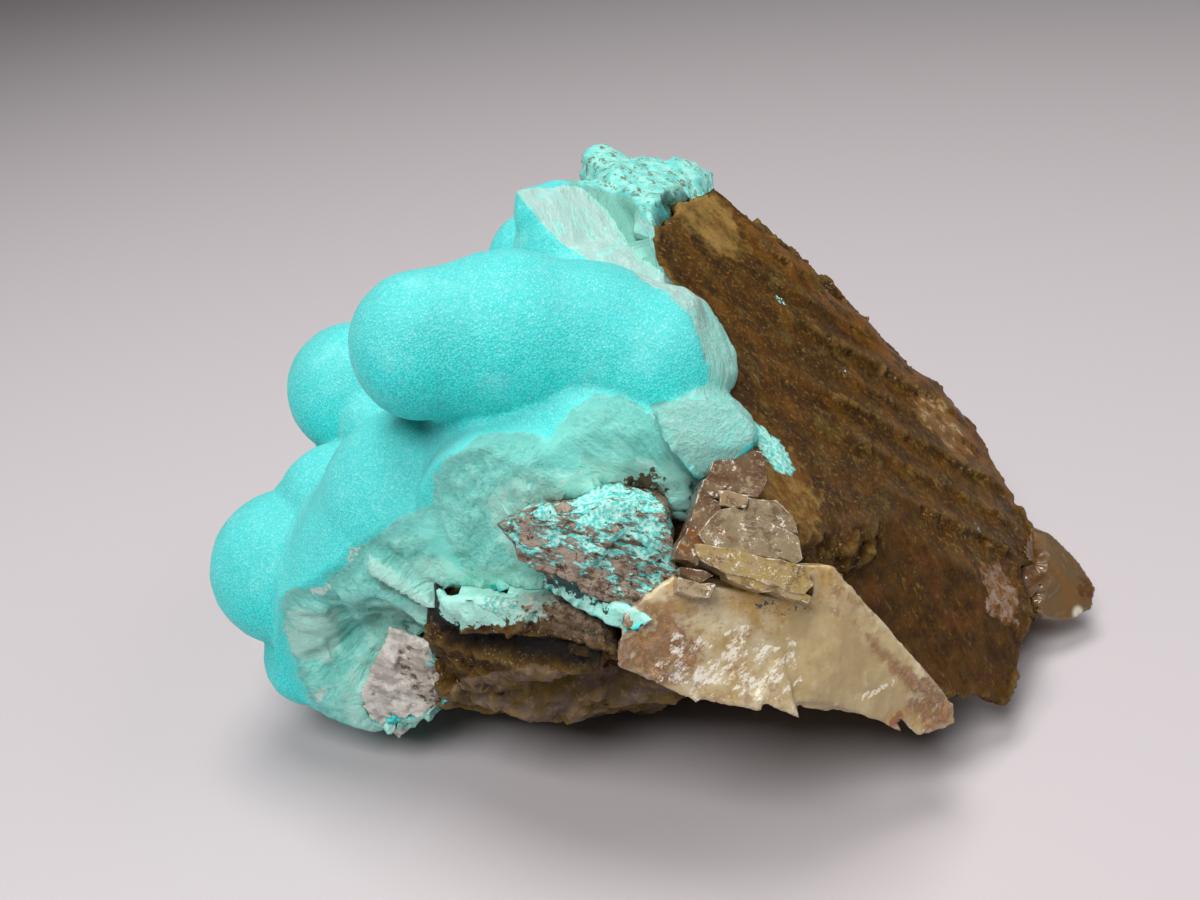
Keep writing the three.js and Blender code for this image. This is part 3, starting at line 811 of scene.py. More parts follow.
blockShape = {  # a stack of cleavage plates, drawn in the plane that they lie in
    "corner": (7.9, -42.8, 38.8),
    "run": (0.957, -0.048, -0.287),
    "up": (0.257, 0.601, 0.756),
    "bevel": 0.10,
    "ragged": 0.16,
    "zones": {"stain": [(2.4, (9.5, -40.5, 41), (8.7, -42.5, 38.5))]},
    "plates": {  # tone, how far the front stands out, thickness, outline (run, up)
        "top": ("brown", -0.9, 4.0, [
            (2.8, 11.4), (6.2, 11.6), (7.3, 9.0), (6.6, 7.2), (3.8, 7.0), (1.2, 7.6), (1.7, 9.2),
        ]),
        "sliver": ("brown", -0.5, 3.0, [(1.1, 7.9), (3.3, 7.6), (3.1, 6.4), (1.0, 6.4)]),
        "tan": ("tan", -0.35, 3.2, [(2.8, 7.2), (5.5, 7.2), (5.4, 5.8), (2.9, 5.7)]),
        "back": ("grey", -0.9, 3.0, [
            (5.2, 7.0), (8.4, 7.2), (10.0, 6.1), (11.0, 4.5), (8.8, 4.3), (5.2, 5.0),
        ]),
        "left": ("brown", -0.6, 3.4, [
            (0.9, 6.8), (3.1, 6.1), (3.3, 5.0), (2.2, 3.7), (2.2, 1.9), (1.9, -0.1), (-0.5, 0.2),
            (-0.1, 1.8), (0.6, 4.4),
        ]),
        "grey": ("grey", 0.0, 3.4, [
            (1.7, 3.5), (2.8, 5.2), (4.2, 5.7), (8.0, 4.8), (10.8, 4.2), (11.5, 2.1), (10.8, 1.6),
            (7.8, 1.7), (4.2, 1.4), (2.4, 1.6), (1.3, 2.7),
        ]),
        "yellow": ("yellow", 0.35, 3.4, [
            (1.1, 1.8), (4.3, 1.8), (8.2, 1.6), (12.5, 1.5), (12.2, 0.4), (12.7, 0.0),
            (12.0, -1.2), (9.3, -0.9), (6.4, -0.6), (3.9, -0.5), (1.7, 0.3),
        ]),
        "thin": ("yellow", 0.15, 3.0, [
            (4.3, -0.3), (6.8, -0.4), (9.3, -0.7), (12.0, -1.0), (12.7, -1.2), (12.5, -1.9),
            (9.4, -1.6), (6.6, -1.6), (4.6, -0.9),
        ]),
        "smallUpper": ("brown", -0.3, 2.2, [
            (0.1, -0.6), (2.3, -0.5), (3.4, -0.9), (2.2, -1.7), (0.2, -1.3),
        ]),
        "smallLower": ("cream", 0.2, 2.4, [
            (0.0, -2.2), (0.1, -1.6), (2.1, -1.7), (3.6, -1.7), (3.3, -2.9), (1.6, -3.1),
            (0.1, -2.9),
        ]),
    },
}
blockLook = {
    "tones": {
        "brown": (0.170, 0.090, 0.045),
        "tan": (0.460, 0.320, 0.180),
        "grey": (0.340, 0.265, 0.160),
        "yellow": (0.500, 0.360, 0.130),
        "cream": (0.520, 0.400, 0.250),
        "white": (0.820, 0.780, 0.680),
        "rust": (0.280, 0.120, 0.036),
    },
    "glass": {
        "clear": 0.42,
        "cloudy": 0.05,
        "cloudyAt": 0.8,
        "roughness": 0.16,
        "ior": 1.6,
        "inside": (0.88, 0.76, 0.52),
        "density": 90,
    },
    "patches": {
        "clouds": (2.2, 4, 0.55, 0.40, 0.66, 0.0, 0.35),
        "brown": (1.5, 8, 0.78, 0.50, 0.60, 0.0, 0.75),
        "cream": (1.2, 9, 0.8, 0.52, 0.58, 0.0, 0.85),
        "lines": (2.5, 3, 0.55, 0.50, 0.62, 0.0, 0.35),
        "flecks": (1.0, 9, 0.82, 0.57, 0.62, 0.0, 0.9),
        "rims": (0.9, 4, 0.6, 0.48, 0.60, 0.0, 0.6),
    },
    "edges": {"stain": (0.9, 0.9, 0.90, 1.35)},
    "noise": {"layers": (0.55, 4, 0.6), "bump": (0.7, 4, 0.6)},
}


def plateOutline(plate, outline, standOut, corner, run, up, out):  # a flat face with a ragged edge
    for along, rise in outline:
        spot = corner + along * run + rise * up + standOut * out
        plate.verts.new((spot + Vector(drawingShift)) * mm)
    bmesh.ops.contextual_create(plate, geom=plate.verts)
    bmesh.ops.subdivide_edges(plate, edges=plate.edges, cuts=3)
    places = np.array([vert.co for vert in plate.verts]) / mm
    ragged = np.stack([noise(places, 0.9, seed) for seed in (91, 92, 93)], axis=1)
    for vert, shift in zip(plate.verts, ragged * blockShape["ragged"]):
        vert.co += (Vector(shift) - Vector(shift).dot(out) * out) * mm


def shapeBlock():
    run = Vector(blockShape["run"]).normalized()
    up = Vector(blockShape["up"])
    up = (up - up.dot(run) * run).normalized()
    out = run.cross(up)
    corner = Vector(blockShape["corner"])
    shape = bmesh.new()
    tones = []
    for toneName, standOut, thickness, outline in blockShape["plates"].values():
        plate = bmesh.new()
        edgeLayer = plate.faces.layers.float.new("edge")
        plateOutline(plate, outline, standOut, corner, run, up, out)
        walls = bmesh.ops.extrude_face_region(plate, geom=plate.faces)["geom"]
        ends = [item for item in walls if isinstance(item, bmesh.types.BMVert)]
        bmesh.ops.translate(plate, verts=ends, vec=-out * thickness * mm)
        bmesh.ops.recalc_face_normals(plate, faces=plate.faces)
        bevelled = bmesh.ops.bevel(
            plate, geom=[edge for edge in plate.edges if edge.calc_face_angle(0) > 0.9],
            offset=blockShape["bevel"] * mm, affect="EDGES", segments=1, profile=0.5, material=-1,
            clamp_overlap=True,
        )
        for face in bevelled["faces"]:
            face[edgeLayer] = 1
        made = bpy.data.meshes.new("plate")
        plate.to_mesh(made)
        plate.free()
        shape.from_mesh(made)
        tones += [blockLook["tones"][toneName]] * len(made.vertices)
        bpy.data.meshes.remove(made)
    piece = newPiece(shape, "cleavageBlock")
    points = readPoints(piece.data)
    layers = [points @ np.array(run) * 0.10, points @ np.array(up), points @ np.array(out)]
    keepOn(piece.data, tone=np.array(tones), layers=np.stack(layers, axis=1))
    keepZones(piece.data, points, blockShape["zones"])
    return piece


def blockMaterial():
    stone = Finish("cleavageCalcite", blockLook)
    colour = stone.mix(stone.patches("clouds"), stone.kept("tone", "Vector"), "cream")
    for name in ("brown", "cream"):
        colour = stone.mix(stone.patches(name), colour, name)
    colour = stone.mix(stone.zone("stain"), colour, "rust")
    layers = stone.pattern("layers", stone.kept("layers", "Vector"))
    lines = stone.times(stone.line(layers, 0.5, 0.018), stone.patches("lines"))
    rims = stone.times(stone.kept("edge"), stone.patches("rims"))
    white = stone.most(lines, stone.patches("flecks"), rims)
    stone.set("Base Color", stone.mix(white, colour, "white"))
    height = stone.sum("ADD", stone.times(layers, 1.5), stone.pattern("bump"))
    stone.set("Normal", stone.bump(height, 0.08, 0.7))
    stone.seeThrough(white)
    return stone.material


block = shapeBlock()
dress(block, blockMaterial(), "cleavage_calcite", "cleavage_block")
block.data.polygons.foreach_set("use_smooth", np.zeros(len(block.data.polygons), bool))

amberShape = {
    "voxel": 0.32,
    "chip": 3.0,
    "chipDepth": 0.16,
    "grown": 1.3,
    "zones": {"stain": [(8.0, (51, -8, 10)), (3.0, (60, -9, 6))], "spark": [(1.3, (59, -12.3, 4.8))]},
}
amberLook = {
    "tones": {
        "body": (0.30, 0.160, 0.055),
        "cloud": (0.24, 0.165, 0.080),
        "stain": (0.100, 0.042, 0.012),
        "white": (0.62, 0.58, 0.48),
    },
    "glass": {
        "clear": 0.55,
        "cloudy": 0.1,
        "cloudyAt": 1.0,
        "roughness": 0.18,
        "ior": 1.6,
        "inside": (0.85, 0.60, 0.30),
        "density": 120,
    },
    "patches": {"cloud": (3.0, 4, 0.55, 0.40, 0.66)},
    "edges": {"stain": (1.6, 0.5, 0.40, 0.85)},
    "noise": {"bump": (0.9, 4, 0.6)},
}


def amberMaterial():
    stone = Finish("amberCalcite", amberLook)
    colour = stone.mix(stone.patches("cloud"), "body", "cloud")
    stain = stone.zone("stain")
    colour = stone.mix(stain, colour, "stain")
    white = stone.most(stone.kept("spark"), stone.times(stone.kept("edge"), 0.06))
    stone.set("Base Color", stone.mix(white, colour, "white"))
    stone.set("Normal", stone.bump(stone.pattern("bump"), 0.06, 0.6))
    stone.seeThrough(stone.most(white, stain))
    return stone.material


amber = chipped("amber_tip", "amberTip", amberShape, 71)
dress(amber, amberMaterial(), "amber_calcite", "amber_tip")

cornerShape = {
    "voxel": 0.28,
    "chip": 3.0,
    "chipDepth": 0.42,
    "grown": 0.75,
    "zones": {
        "aqua": [(2.6, (-18.6, -29, 14)), (3.4, (-23, -25, 6.5)), (2.0, (-18.2, -29, 19.4))],
        "brownPart": [(3.6, (-20.5, -28, 19), (-19.8, -28, 9))],
    },
}
cornerLook = {
    "tones": {
        "white": (0.80, 0.77, 0.70),
        "grey": (0.46, 0.43, 0.38),
        "tan": (0.24, 0.165, 0.10),
        "brown": (0.085, 0.050, 0.026),
        "aqua": (0.28, 0.70, 0.64),
    },
    "patches": {
        "white": (2.2, 7, 0.72, 0.38, 0.56),
        "pits": (1.5, 7, 0.75, 0.42, 0.50, 1.0, 0.0),
        "grains": (0.7, 5, 0.7, 0.58, 0.68),
    },
    "edges": {"brownPart": (1.4, 0.7, 0.30, 0.70), "aqua": (0.9, 0.7, 0.55, 0.75)},
    "noise": {"bump": (0.9, 7, 0.75)},
}


def cornerMaterial():
    stone = Finish("cornerCalcite", cornerLook)
    colour = stone.mix(stone.patches("white"), "grey", "white")
    brownPart = stone.zone("brownPart")
    pits = stone.times(stone.patches("pits"), stone.band(brownPart, 0.0, 1.0, 0.10, 1.0))
    colour = stone.mix(stone.times(brownPart, 0.45), colour, "tan")
    colour = stone.mix(pits, colour, "brown")
    colour = stone.mix(stone.patches("grains"), colour, "white")
    colour = stone.mix(stone.zone("aqua"), colour, "aqua")
    stone.set("Base Color", colour)
    stone.set("Roughness", 0.38)
    stone.set("Normal", stone.bump(stone.pattern("bump"), 0.28, 0.9))
    return stone.material


corner = chipped("corner_calcite", "cornerCalcite", cornerShape, 81)
dress(corner, cornerMaterial(), "white_calcite", "corner_calcite")
print("the small calcites are shaped")

stripRoute = [(-5.2, -39.8, 36.9), (-3.4, -40.7, 36.2), (0.2, -42, 34.2)]  # just above the mint tongue
crustShape = {
    "voxel": 0.46,
    "lobeBlend": 1.1,
    "lobes": [  # each a ball, or a chain of balls that grew together: x, y, z, radius
        [(-14.9, -22, 53.8, 7.6), (-6.7, -19.4, 52.2, 9.1), (2, -18.6, 50.3, 8.5), (8.1, -20, 47.9, 8.6)],
        [(3.2, -8, 50, 7.6)], [(-27.2, 2, 38.5, 8.4)], [(-23.9, -6, 37, 4.6)],
        [(-35.9, -13, 23.4, 9.3)], [(-35.2, -16.4, 12.8, 5.6)], [(-29.4, -10, 29.6, 7.2)],
        [(-22.2, -18, 22.8, 14.6), (-18.4, -18.6, 33.2, 11.4)],
        [(-26.6, -20, 16.8, 11.2)], [(-29, -17, 10, 6.4)],
        [(-8.8, -29.5, 38.5, 8.6)], [(2.2, -30.6, 41.5, 7.3)], [(10.4, -27, 41, 7.4)], [(-9, -8, 43, 8.6)],
        [(-17, -2, 42, 8)], [(-33, 0, 20, 9.4)], [(-26, 13, 26, 10.2)], [(-28, 8, 11.5, 7.8)],
        [(-17, 20, 33, 9)],
        [(-18.5, 20, 17.5, 8.8)], [(-8.5, 25, 25, 8.2)], [(-16, 9, 41, 8.6)], [(-5, 17, 40.5, 8.4)],
        [(1, 24, 38, 7)], [(-3.4, 7, 50.7, 6.3)], [(2, -1, 52.6, 8.8)],
    ],
    "fracture": [  # round the edge of the broken front section
        (-33.9, -24.6, 28.2), (-29.6, -26.5, 28.8), (-25.9, -27.5, 32.2), (-24.9, -27.7, 34.3),
        (-20.5, -28.9, 37.5), (-15.9, -30.4, 40.3), (-14.9, -30.5, 43.1), (-13.4, -30.9, 45.1),
        (-10.1, -31.2, 47.7), (-6.3, -30.1, 47.5), (-3.3, -31.2, 46.9), (-2.2, -31, 47.9),
        (-0.7, -29.6, 48.8),
        (1.6, -28.5, 49.3), (4.1, -27.5, 48.8), (6.4, -29.8, 48), (9, -31, 46), (16, -31, 40),
        (16, -25, 0), (-31, -22, 0), (-34.9, -22.1, 11.2), (-35.4, -22.3, 14.7), (-35.2, -23.4, 21.4),
    ],
    "fractureBefore": -17,  # it reaches back to this y
    "fractureFray": [(0.45, 1.6, 10, 2)],
    "underBreak": (0.05, 0.1, -0.99),  # the way that the break below the lobes looks
    "underBreakBelow": 8,
    "pale": [  # round the horn's broken top, the rim beside the big crystal face and the fan of fibres
        (-5.1, -0.7, 62.3), (-3, -3.9, 60.2), (-1.4, -6.1, 58.7), (0.1, -7.6, 57.2), (2.1, -10.4, 57),
        (4.8, -11.7, 56.4), (7.3, -18.9, 57.3), (9.4, -20.4, 56.5), (11.8, -23.7, 54.6), (12.7, -26, 51.8),
        (12.9, -27, 48.7), (8.4, -28.5, 48), (6.8, -28.5, 47.9), (7.3, -34.7, 48.2), (8.8, -36.4, 46.2),
        (10.9, -32.9, 40.9), (15.8, -35.8, 46.3), (18, -27.9, 45.2), (20, -25.1, 48.3), (20, -21.9, 52),
        (16, -21.5, 56), (11.5, -19.9, 58.5), (7.9, -9.8, 55.8), (6.7, -2.8, 55.8), (5.6, 0.5, 57.8),
        (1.9, 3.3, 60.8),
    ],
    "paleFray": [(0.3, 1.4, 9, 2)],
    "paleBox": ((-99, -99, 40), (99, 5, 99)),
    "flank": (4.6, (3, 5, 60), (6, 1, 58.6), (9, -3, 57.5), (9.2, -8, 56.5), (9.4, -12, 55.5)),  # smooth; its teal is painted darker for the shade it lies in
    "topCrust": ((2, -6, 53), (99, 99, 99)),
    "hemBox": ((6, -99, -99), (99, 2, 58.4)),  # the top crust isn't pitted here
    "hem": (2.0, (9.0, -2, 57.6), (9.4, -7, 57)),  # whiter, at the edge of the big crystal face
    "foot": (5, (-23, -25, 5), (-19.5, -28, 7)),  # broken too, under the corner calcite
    "tongue": (5.0, *stripRoute, (4.6, -43.6, 32.8)),  # too thin to be smoothed
    "fibreCentres": [(-5, -24, 31), (-20, -20, 24), (10.6, -32, 38)],
    "splinters": [(0.26, 1.6, 11, 2), (0.20, 0.8, 12)],
    "folds": [(0.6, 9.0, 13, 2)],
    "flakes": [(0.55, 6.5, 14)],
    "smallFlakes": [(0.34, 2.4, 22)],
    "fold": [(-22.9, 35.4), (-20.6, 33.6), (-18.8, 31.6), (-16.5, 29.4), (-15.1, 28.2)],  # x and z
    "foldWidth": (3.4, 1.6),  # of the shelf below it, at its two ends
    "shelfHeight": 1.6,
    "creases": [
        (1.6, (-24.5, -24.2, 22.6), (-29, -24, 19.8), (-33.5, -23.3, 17.4)),
        (1.6, (-25.5, -24, 21.3), (-31.7, -23.9, 15.5)),
        (1.6, (-28.6, -26.6, 27.6), (-28.2, -24.4, 22.7)),
    ],
    "creaseDepth": 0.8,
    "paleRelief": [(0.3, 4.0, 15, 2)],
    "paleFibres": [(0.12, 1.0, 16)],
    "pitStretch": (0.6, 1, 1.5),
    "pits": [(0.45, 1.7, 17, 2)],
    "pitSwell": [(0.4, 4.0, 18)],
    "velvetSwell": [(0.16, 6.0, 19, 2), (0.05, 1.3, 20)],
    "zones": {
        "wedge": [(4.8, (-13.5, -34.5, 32), (-6.5, -38, 34.8))],  # mint green, beside the rock
        "crushed": [
            (1.1, (-26.0, -27.4, 32.8), (-24.9, -27.6, 34.2)),
            (1.1, (-30.5, -26.4, 28.4), (-28.9, -26.7, 29.2)),
            (1.1, (-33.9, -22.6, 11.4), (-32.4, -23, 13.2)),
        ],
        # a paler facet facing up and left, lightened further as painted light
        "paleAndLitFacet": [(4.6, (-31.8, -24.3, 23.2), (-32.6, -23.8, 19.6))],
        "patch": [(3.4, (5.1, -32.5, 41.4), (6.8, -35.6, 41))],  # brown calcite shows through
        "shadowStrip": [(1.8, *stripRoute)],  # dark: a painted shadow under the overhang
    },
    "lumps": [  # the mint tongue over the lower rock, in two parts, and the foot of the fan
        [
            (-5.6, -39.8, 36.4), (-4.2, -40.5, 37.6), (-5.4, -39.6, 34.8), (0.8, -42.2, 34.1),
            (-0.6, -41.8, 32.3), (-4.6, -38, 36.4), (0.4, -40, 33.2),
        ],
        [
            (-0.6, -41.8, 32.4), (0.8, -42.2, 34.1), (1.0, -43.6, 31.4), (3.2, -44.5, 31.6),
            (5.0, -44.3, 33.6), (2.4, -42.8, 34.8), (0.4, -40.4, 33.2), (4.4, -42.4, 33.6),
        ],
        [
            (10.6, -36.8, 43.4), (16.2, -35.7, 46), (15.4, -34.6, 43.6), (10.8, -34.2, 41.4),
            (12, -32.5, 44), (15.4, -32.5, 45), (8.9, -36.3, 46.4), (13.9, -35.5, 47), (11, -35.9, 46.9),
            (9.5, -33.5, 46),
        ],
    ],
}
crustLook = {
    "tones": {
        # the velvet's two painted-light copies: the first for skin that faces up, the next for skin that
        # faces down into shade, also laid in random patches
        "litTopTeal": (0.112, 0.515, 0.500),
        "deepTealAndShadedUnderside": (0.045, 0.860, 0.835),
        "gap": (0.020, 0.470, 0.470),
        "frost": (0.400, 0.800, 0.770),
        "rim": (0.110, 0.600, 0.560),
        "band": (0.120, 0.500, 0.455),
        # a dim teal, laid in random patches and between fibres, and also used as painted shade
        "dimTealAndPaintedShade": (0.135, 0.500, 0.440),
        "grey": (0.240, 0.840, 0.740),
        "mint": (0.410, 0.940, 0.810),
        # the flank's own teal, darkened as painted shade
        "flank": (0.170, 0.420, 0.350),
        "shadow": (0.018, 0.060, 0.055),
        "fan": (0.260, 0.620, 0.545),
        "horn": (0.350, 0.560, 0.520),
        "pale": (0.540, 0.900, 0.790),
        "white": (0.640, 0.820, 0.730),
        "pit": (0.130, 0.100, 0.052),
    },
    "patches": {
        "deepTealAndShadedUnderside": (7.0, 3, 0.55, 0.35, 0.75, 0.0, 0.25),
        "frost": (6.0, 5, 0.65, 0.50, 0.78, 0.0, 0.22),
        "wander": (1.8, 3, 0.55, 0.25, 0.75, -0.6, 0.6),  # of the velvet's edge, in mm
        "dimTealAndPaintedShade": (4.5, 5, 0.6, 0.48, 0.70, 0.0, 0.30),
        "byRock": (0.9, 6, 0.75, 0.44, 0.60),
        "paleGrey": (2.2, 6, 0.7, 0.50, 0.64, 0.0, 0.5),
        "pitHoles": (0.9, 6, 0.72, 0.40, 0.47, 0.9, 0.0),
        "pitted": (1.6, 6, 0.7, 0.38, 0.62),
    },
    "edges": {
        "nearRock": (2.0, 0.35, 0.40, 0.90),
        "wedge": (1.6, 0.5, 0.35, 0.8),
        "paleAndLitFacet": (1.6, 0.4, 0.45, 0.80),
        "shelf": (0.9, 0.3, 0.35, 0.65),
        "below": (0.9, 0.3, 0.30, 0.90),
        "crushed": (0.5, 0.8, 0.7, 1.1),
        "patch": (1.1, 0.65, 0.80, 0.95),
        "shadowStrip": (0.8, 0.50, 0.65, 0.85),
        "broken": (0.9, 0.28, 0.38, 0.62),
    },
    "noise": {"fibres": (0.60, 5, 0.70), "strands": (2.0, 4, 0.65), "bump": (0.5, 6, 0.75)},
    "grain": 0.21,  # mm
}


def lobeField(points):  # distance out from the lobes' skin, and the way out of it
    reach = crustShape["lobeBlend"]
    depth = np.full(len(points), 1e9)
    nearest = np.full(len(points), 1e9)
    out = np.zeros_like(points)
    for chain in crustShape["lobes"]:
        for ball, nextBall in zip(chain, chain[1:] or chain):
            start, end = np.array(ball[:3], float), np.array(nextBall[:3], float)
            span = end - start
            along = np.clip((points - start) @ span / max(span @ span, 1e-9), 0, 1)
            away = points - start - along[:, None] * span
            distance = np.linalg.norm(away, axis=1) + 1e-9
            skin = distance - (ball[3] + along * (nextBall[3] - ball[3]))
            closer = skin < nearest
            nearest = np.where(closer, skin, nearest)
            out = np.where(closer[:, None], away / distance[:, None], out)
            blend = np.clip(0.5 + 0.5 * (depth - skin) / reach, 0, 1)
            depth = depth * (1 - blend) + skin * blend - reach * blend * (1 - blend)
    return depth, out


# places stretched along the fibres, which spread out from a few centres; 0 where two sheaves meet
def fibreField(points):
    bent = points + 0.8 * np.stack([noise(points, 5.0, seed) for seed in (5, 6, 7)], axis=1)
    nearest = np.full(len(points), 1e9)
    second = np.full(len(points), 1e9)
    fibrePlace = np.zeros_like(points)
    for number, centre in enumerate(crustShape["fibreCentres"]):
        away = bent - np.array(centre, float)
        length = np.linalg.norm(away, axis=1)
        flat = np.linalg.norm(away[:, [0, 2]], axis=1)
        place = away / length[:, None] * (15 + 0.12 * length[:, None]) + 31.7 * number
        closer = flat < nearest
        second = np.where(closer, nearest, np.minimum(second, flat))
        nearest = np.where(closer, flat, nearest)
        fibrePlace = np.where(closer[:, None], place, fibrePlace)
    return fibrePlace, ramp(second - nearest, 0.6, 2.4)


# the shelf under the fracture's main fold: its relief, its up-facing face that is painted pale as painted
# light, and the painted shadow below it
def foldShelf(points):
    foldX, foldZ = np.array(crustShape["fold"]).T
    under = np.interp(points[:, 0], foldX, foldZ) - points[:, 2]
    share = under / np.interp(points[:, 0], (foldX[0], foldX[-1]), crustShape["foldWidth"])
    within = ramp(points[:, 0], -24.5, -22) * (1 - ramp(points[:, 0], -16, -13.5))
    face = ramp(share, 0.1, 0.7) * (1 - ramp(share, 1.0, 1.15))
    height = -0.4 * hump(under, 0, 0.9) + crustShape["shelfHeight"] * face
    return height * within, face * within, hump(share, 1.4, 0.6) * within


def crustParts(points, normals, skin):  # depth inside the fracture, then the shares of each kind of surface
    shape = crustShape
    flat = flatAlong(points, breakView)
    depth = outlineDepth(flat, flatAlong(np.array(shape["fracture"]), breakView))
    seen = (normals @ breakView < -0.02) & (points[:, 1] < shape["fractureBefore"])
    depth = np.where(seen, depth, np.minimum(depth, -1))
    under = (normals @ np.array(shape["underBreak"]) > 0.7) & (points[:, 2] < shape["underBreakBelow"])
    depth = np.where(under, 3.0, depth)
    paleDepth = outlineDepth(flat, flatAlong(np.array(shape["pale"]), breakView))
    paleDepth += layered(points, shape["paleFray"])
    paleSide = (normals @ breakView < 0.1) & inBox(points, *shape["paleBox"])
    pale = np.where(paleSide & (paleDepth > 0), 0.55 + 0.45 * ramp(points[:, 2], 49, 58), 0.0)
    pale = np.maximum(pale, 0.8 * near(points, *shape["hem"]))
    topCrust = inBox(points, *shape["topCrust"]) & (skin > 0.5) & (paleDepth < 0)
    pitted = (topCrust & ~inBox(points, *shape["hemBox"])).astype(float)
    flank = near(points, *shape["flank"])
    foot = near(points, *shape["foot"]) > 0.3
    frayed = depth + layered(points, shape["fractureFray"])
    broken = ((frayed > 0) | (pale > 0.2) | (flank > 0.5) | foot).astype(float)
    broken[pitted > 0] = 0
    return depth, broken, pitted, pale, flank


# the velvet is drawn onto the lobes' true round skins; the rest of it and the broken part are smoothed
def smoothCrust(mesh, points, skin, out, depth, broken, pitted):
    velvet = (broken < 0.5) & (pitted < 0.5)
    onLobe = velvet & (np.abs(skin) < 0.9) & ((readNormals(mesh) * out).sum(axis=1) > 0.7)
    pull = spread(mesh, onLobe.astype(float), 2)
    points -= out * (skin * pull * velvet)[:, None]
    loose = spread(mesh, (velvet & (skin > 0.2)).astype(float), 3)
    points += (spread(mesh, points, 6) - points) * loose[:, None]
    inner = spread(mesh, broken * ramp(depth, 0.3, 2.0), 2)
    inner *= 1 - near(points, *crustShape["tongue"])
    points += (spread(mesh, points, 16) - points) * inner[:, None]


def fractureRelief(mesh, points, depth, pale, fibrePlace, sheaf, shelfHeight):
    shape = crustShape
    inside = ramp(depth, 0.2, 2.2)
    relief = layered(points, shape["folds"]) + spread(mesh, layered(points, shape["flakes"], facets), 5)
    relief += spread(mesh, layered(points, shape["smallFlakes"], facets), 1)
    relief = (relief + layered(fibrePlace, shape["splinters"]) * sheaf + shelfHeight) * inside
    for crease in shape["creases"]:
        relief -= shape["creaseDepth"] * inside * near(points, *crease)
    paleRelief = layered(points, shape["paleRelief"]) + sheaf * layered(fibrePlace, shape["paleFibres"])
    return np.where(pale > 0.3, paleRelief, relief)


def shapeCrust(neighbours):
    shape = crustShape
    piece = remeshed("hemimorphite_crust", "velvetCrust", shape["voxel"], shape["lumps"])
    mesh = piece.data
    points, normals = readPoints(mesh), readNormals(mesh)
    skin, out = lobeField(points)
    over = (points - slopeTop) @ slopeFacing
    depth, broken, pitted, pale, flank = crustParts(points, normals, skin)
    smoothCrust(mesh, points, skin, out, depth, broken, pitted)

    broken, pitted, pale = spread(mesh, broken, 1), spread(mesh, pitted, 2), spread(mesh, pale, 1)
    fibrePlace, sheaf = fibreField(points)
    shelfHeight, shelf, below = foldShelf(points)
    relief = fractureRelief(mesh, points, depth, pale, fibrePlace, sheaf, shelfHeight)
    points += normals * (relief * broken)[:, None]
    pits = layered(points * np.array(shape["pitStretch"]), shape["pits"])
    pits += layered(points, shape["pitSwell"])
    points += normals * (pits * pitted)[:, None]
    swell = layered(points, shape["velvetSwell"])
    points += normals * (swell * (1 - broken) * (1 - pitted))[:, None]
    points[:, 2] = np.maximum(points[:, 2], 0.02)

    # it grows right onto the calcite in front, but leaves a dark gap at the big face
    front, top = points[:, 1] < -15, points[:, 2] > 53
    reach = np.where(top, 1.7, np.where(over < -4, 0.9, 0))
    allowed = front & (broken > 0.02) | top & (points[:, 0] > 6)
    rockDistance = growOnto(points, neighbours, reach, allowed)
    writePoints(mesh, points)
    nearRock = (1 - ramp(rockDistance, 0.6, 5.5)) * (points[:, 1] < -15)
    # how far each place faces down; the velvet and the broken part are coloured by it, as painted light and
    # shade
    shade = 1 - ramp(spread(mesh, readNormals(mesh)[:, 2], 3), -0.2, 0.7)
    keepOn(mesh, broken=broken, pitted=pitted, pale=pale, flank=flank, depth=depth, nearRock=nearRock)
    keepOn(mesh, fibre=fibrePlace, sheaf=sheaf, shelf=shelf, below=below, shade=shade)
    # the first: how far the surface sinks below its surroundings, kept for painted shade over darker
    # fibres; the second: how far it stands out, kept for a painted highlight
    keepOn(mesh, hollow=outerEdges(mesh, points, 12, -0.55), crest=outerEdges(mesh, points, 4, 0.22))
    keepZones(mesh, points, shape["zones"])
    return piece


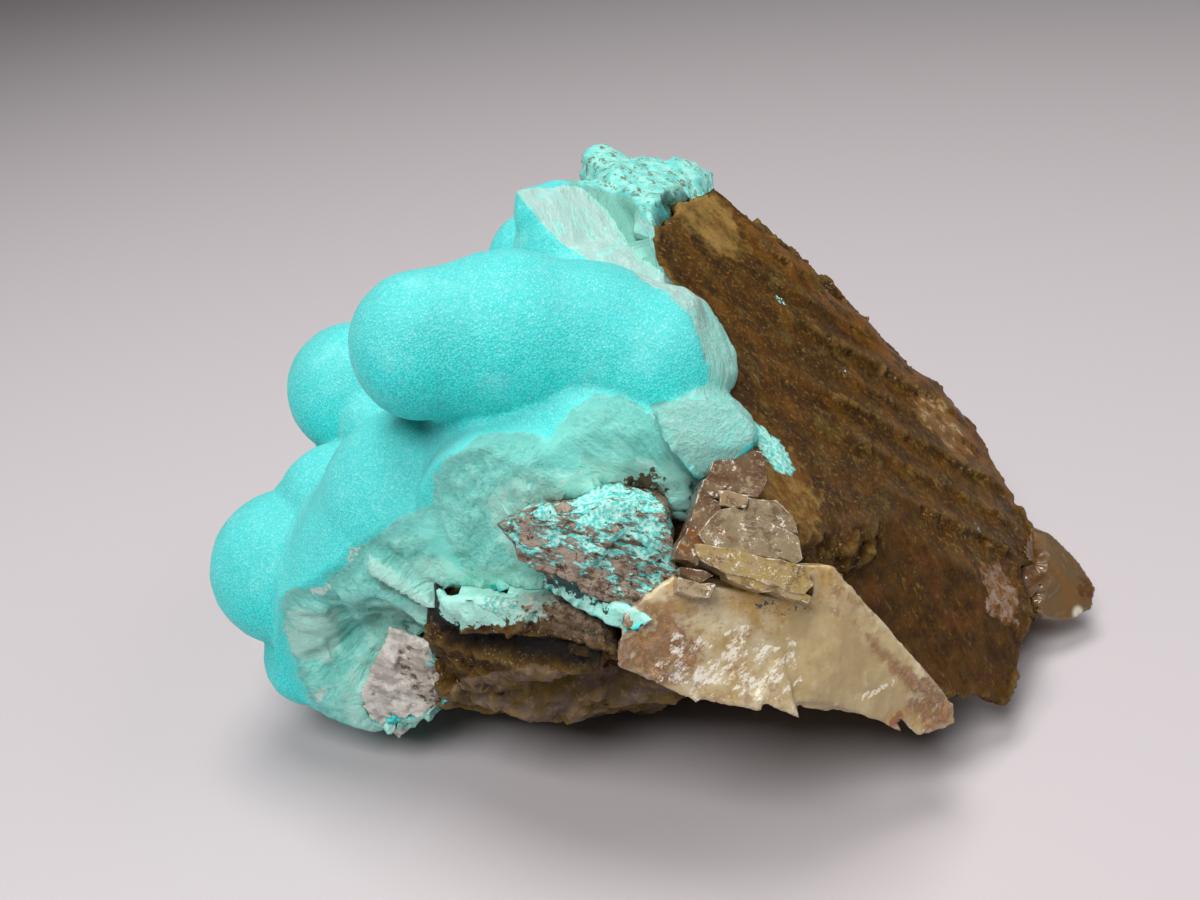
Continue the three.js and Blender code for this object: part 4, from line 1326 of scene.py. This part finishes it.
def crustMaterial():
    crust = Finish("velvetHemimorphite", crustLook)
    zones = {name: crust.zone(name) for name in crustLook["edges"]}
    shade, pale, sheaf = crust.kept("shade"), crust.kept("pale"), crust.kept("sheaf")
    depth = crust.sum("ADD", crust.kept("depth"), crust.patches("wander"))
    grains = crust.cells(crustLook["grain"])
    # painted light: the velvet is a paler teal where it faces up and a brighter, deeper teal where it faces
    # down into shade
    velvet = crust.covered(
        crust.mix(shade, "litTopTeal", "deepTealAndShadedUnderside"),
        (crust.patches("deepTealAndShadedUnderside"), "deepTealAndShadedUnderside"),
        # painted light on each sugar grain: darker toward the gaps between grains as painted shade, and
        # some grains whitened as painted highlights
        (crust.band(grains, 0.30, 0.65, 0.0, 0.7), "gap"),
        (crust.band(crust.cells(crustLook["grain"], "Color"), 0.55, 1.0, 0.0, 0.28), "frost"),
        (crust.patches("frost"), "frost"),
        (crust.band(depth, -2.2, -0.2, 0.0, 0.4), "rim"),
    )

    fibrePlace = crust.kept("fibre", "Vector")
    fibres = crust.faded(crust.pattern("fibres", fibrePlace), sheaf)
    strands = crust.faded(crust.pattern("strands", fibrePlace), sheaf)
    inner = crust.covered(
        crust.mix(crust.patches("dimTealAndPaintedShade"), "grey", "dimTealAndPaintedShade"),
        (crust.band(strands, 0.50, 0.75, 0.0, 0.40), "mint"),
        (crust.band(fibres, 0.50, 0.62, 0.0, 0.70), "mint"),
        (crust.band(fibres, 0.36, 0.48, 0.58, 0.0), "dimTealAndPaintedShade"),
        # painted shade in the hollows, over their darker fibres
        (crust.times(crust.kept("hollow"), 0.45), "dimTealAndPaintedShade"),
        # painted highlight: ridges that stand out are lightened, as if catching the light
        (crust.times(crust.kept("crest"), 0.55), "mint"),
        (crust.band(depth, 0.3, 2.4, 0.55, 0.0), "band"),
        # painted shade: broken faces that look up are darkened against the light from above
        (crust.band(shade, 0.30, 0.75, 0.55, 0.0), "dimTealAndPaintedShade"),
        (crust.times(crust.line(depth, 0.2, 0.4), 0.25), "frost"),
    )
    mintTone = crust.mix(crust.patches("byRock"), "mint", "pale")
    inner = crust.mix(crust.times(crust.most(zones["nearRock"], zones["wedge"]), 0.85), inner, mintTone)
    inner = crust.covered(
        inner,
        # painted light on the up-facing shelf and facet; painted shadow under the shelf
        (crust.times(crust.most(zones["paleAndLitFacet"], zones["shelf"]), 0.72), "pale"),
        (crust.times(zones["below"], 0.55), "shadow"),
        (zones["crushed"], "white"),
        (crust.times(crust.kept("flank"), 0.9), "flank"),
    )
    paleTone = crust.covered(
        crust.mix(crust.band(pale, 0.60, 0.95), "fan", "horn"),
        (crust.band(fibres, 0.45, 0.7, 0.0, 0.45), "white"),
        (crust.patches("paleGrey"), "grey"),
    )
    inner = crust.mix(crust.band(pale, 0.2, 0.45), inner, paleTone)
    inner = crust.covered(inner, (zones["patch"], "pit"), (zones["shadowStrip"], "shadow"))
    colour = crust.mix(zones["broken"], velvet, inner)

    pittedTone = crust.mix(crust.patches("pitted"), "band", "fan")
    pittedTone = crust.mix(crust.patches("pitHoles"), pittedTone, "pit")
    crust.set("Base Color", crust.mix(crust.kept("pitted"), colour, pittedTone))
    crust.set("Roughness", crust.band(fibres, 0.3, 0.7, 0.55, 0.8))
    crust.set("Specular IOR Level", 0.2)
    crust.set("Sheen Weight", 0.12)
    crust.set("Sheen Roughness", 0.4)
    fibreHeight = crust.sum("ADD", fibres, crust.times(crust.pattern("bump"), 0.5))
    velvetBump, fibreBump = crust.bump(grains, 0.07, 0.8), crust.bump(fibreHeight, 0.55, 1.0)
    crust.set("Normal", crust.mixNormals(zones["broken"], velvetBump, fibreBump))
    return crust.material


crustPiece = shapeCrust([surfaceOf(neighbour) for neighbour in (brown, honey, corner)])
dress(crustPiece, crustMaterial(), "hemimorphite", "hemimorphite_crust")
print("the crust is shaped")
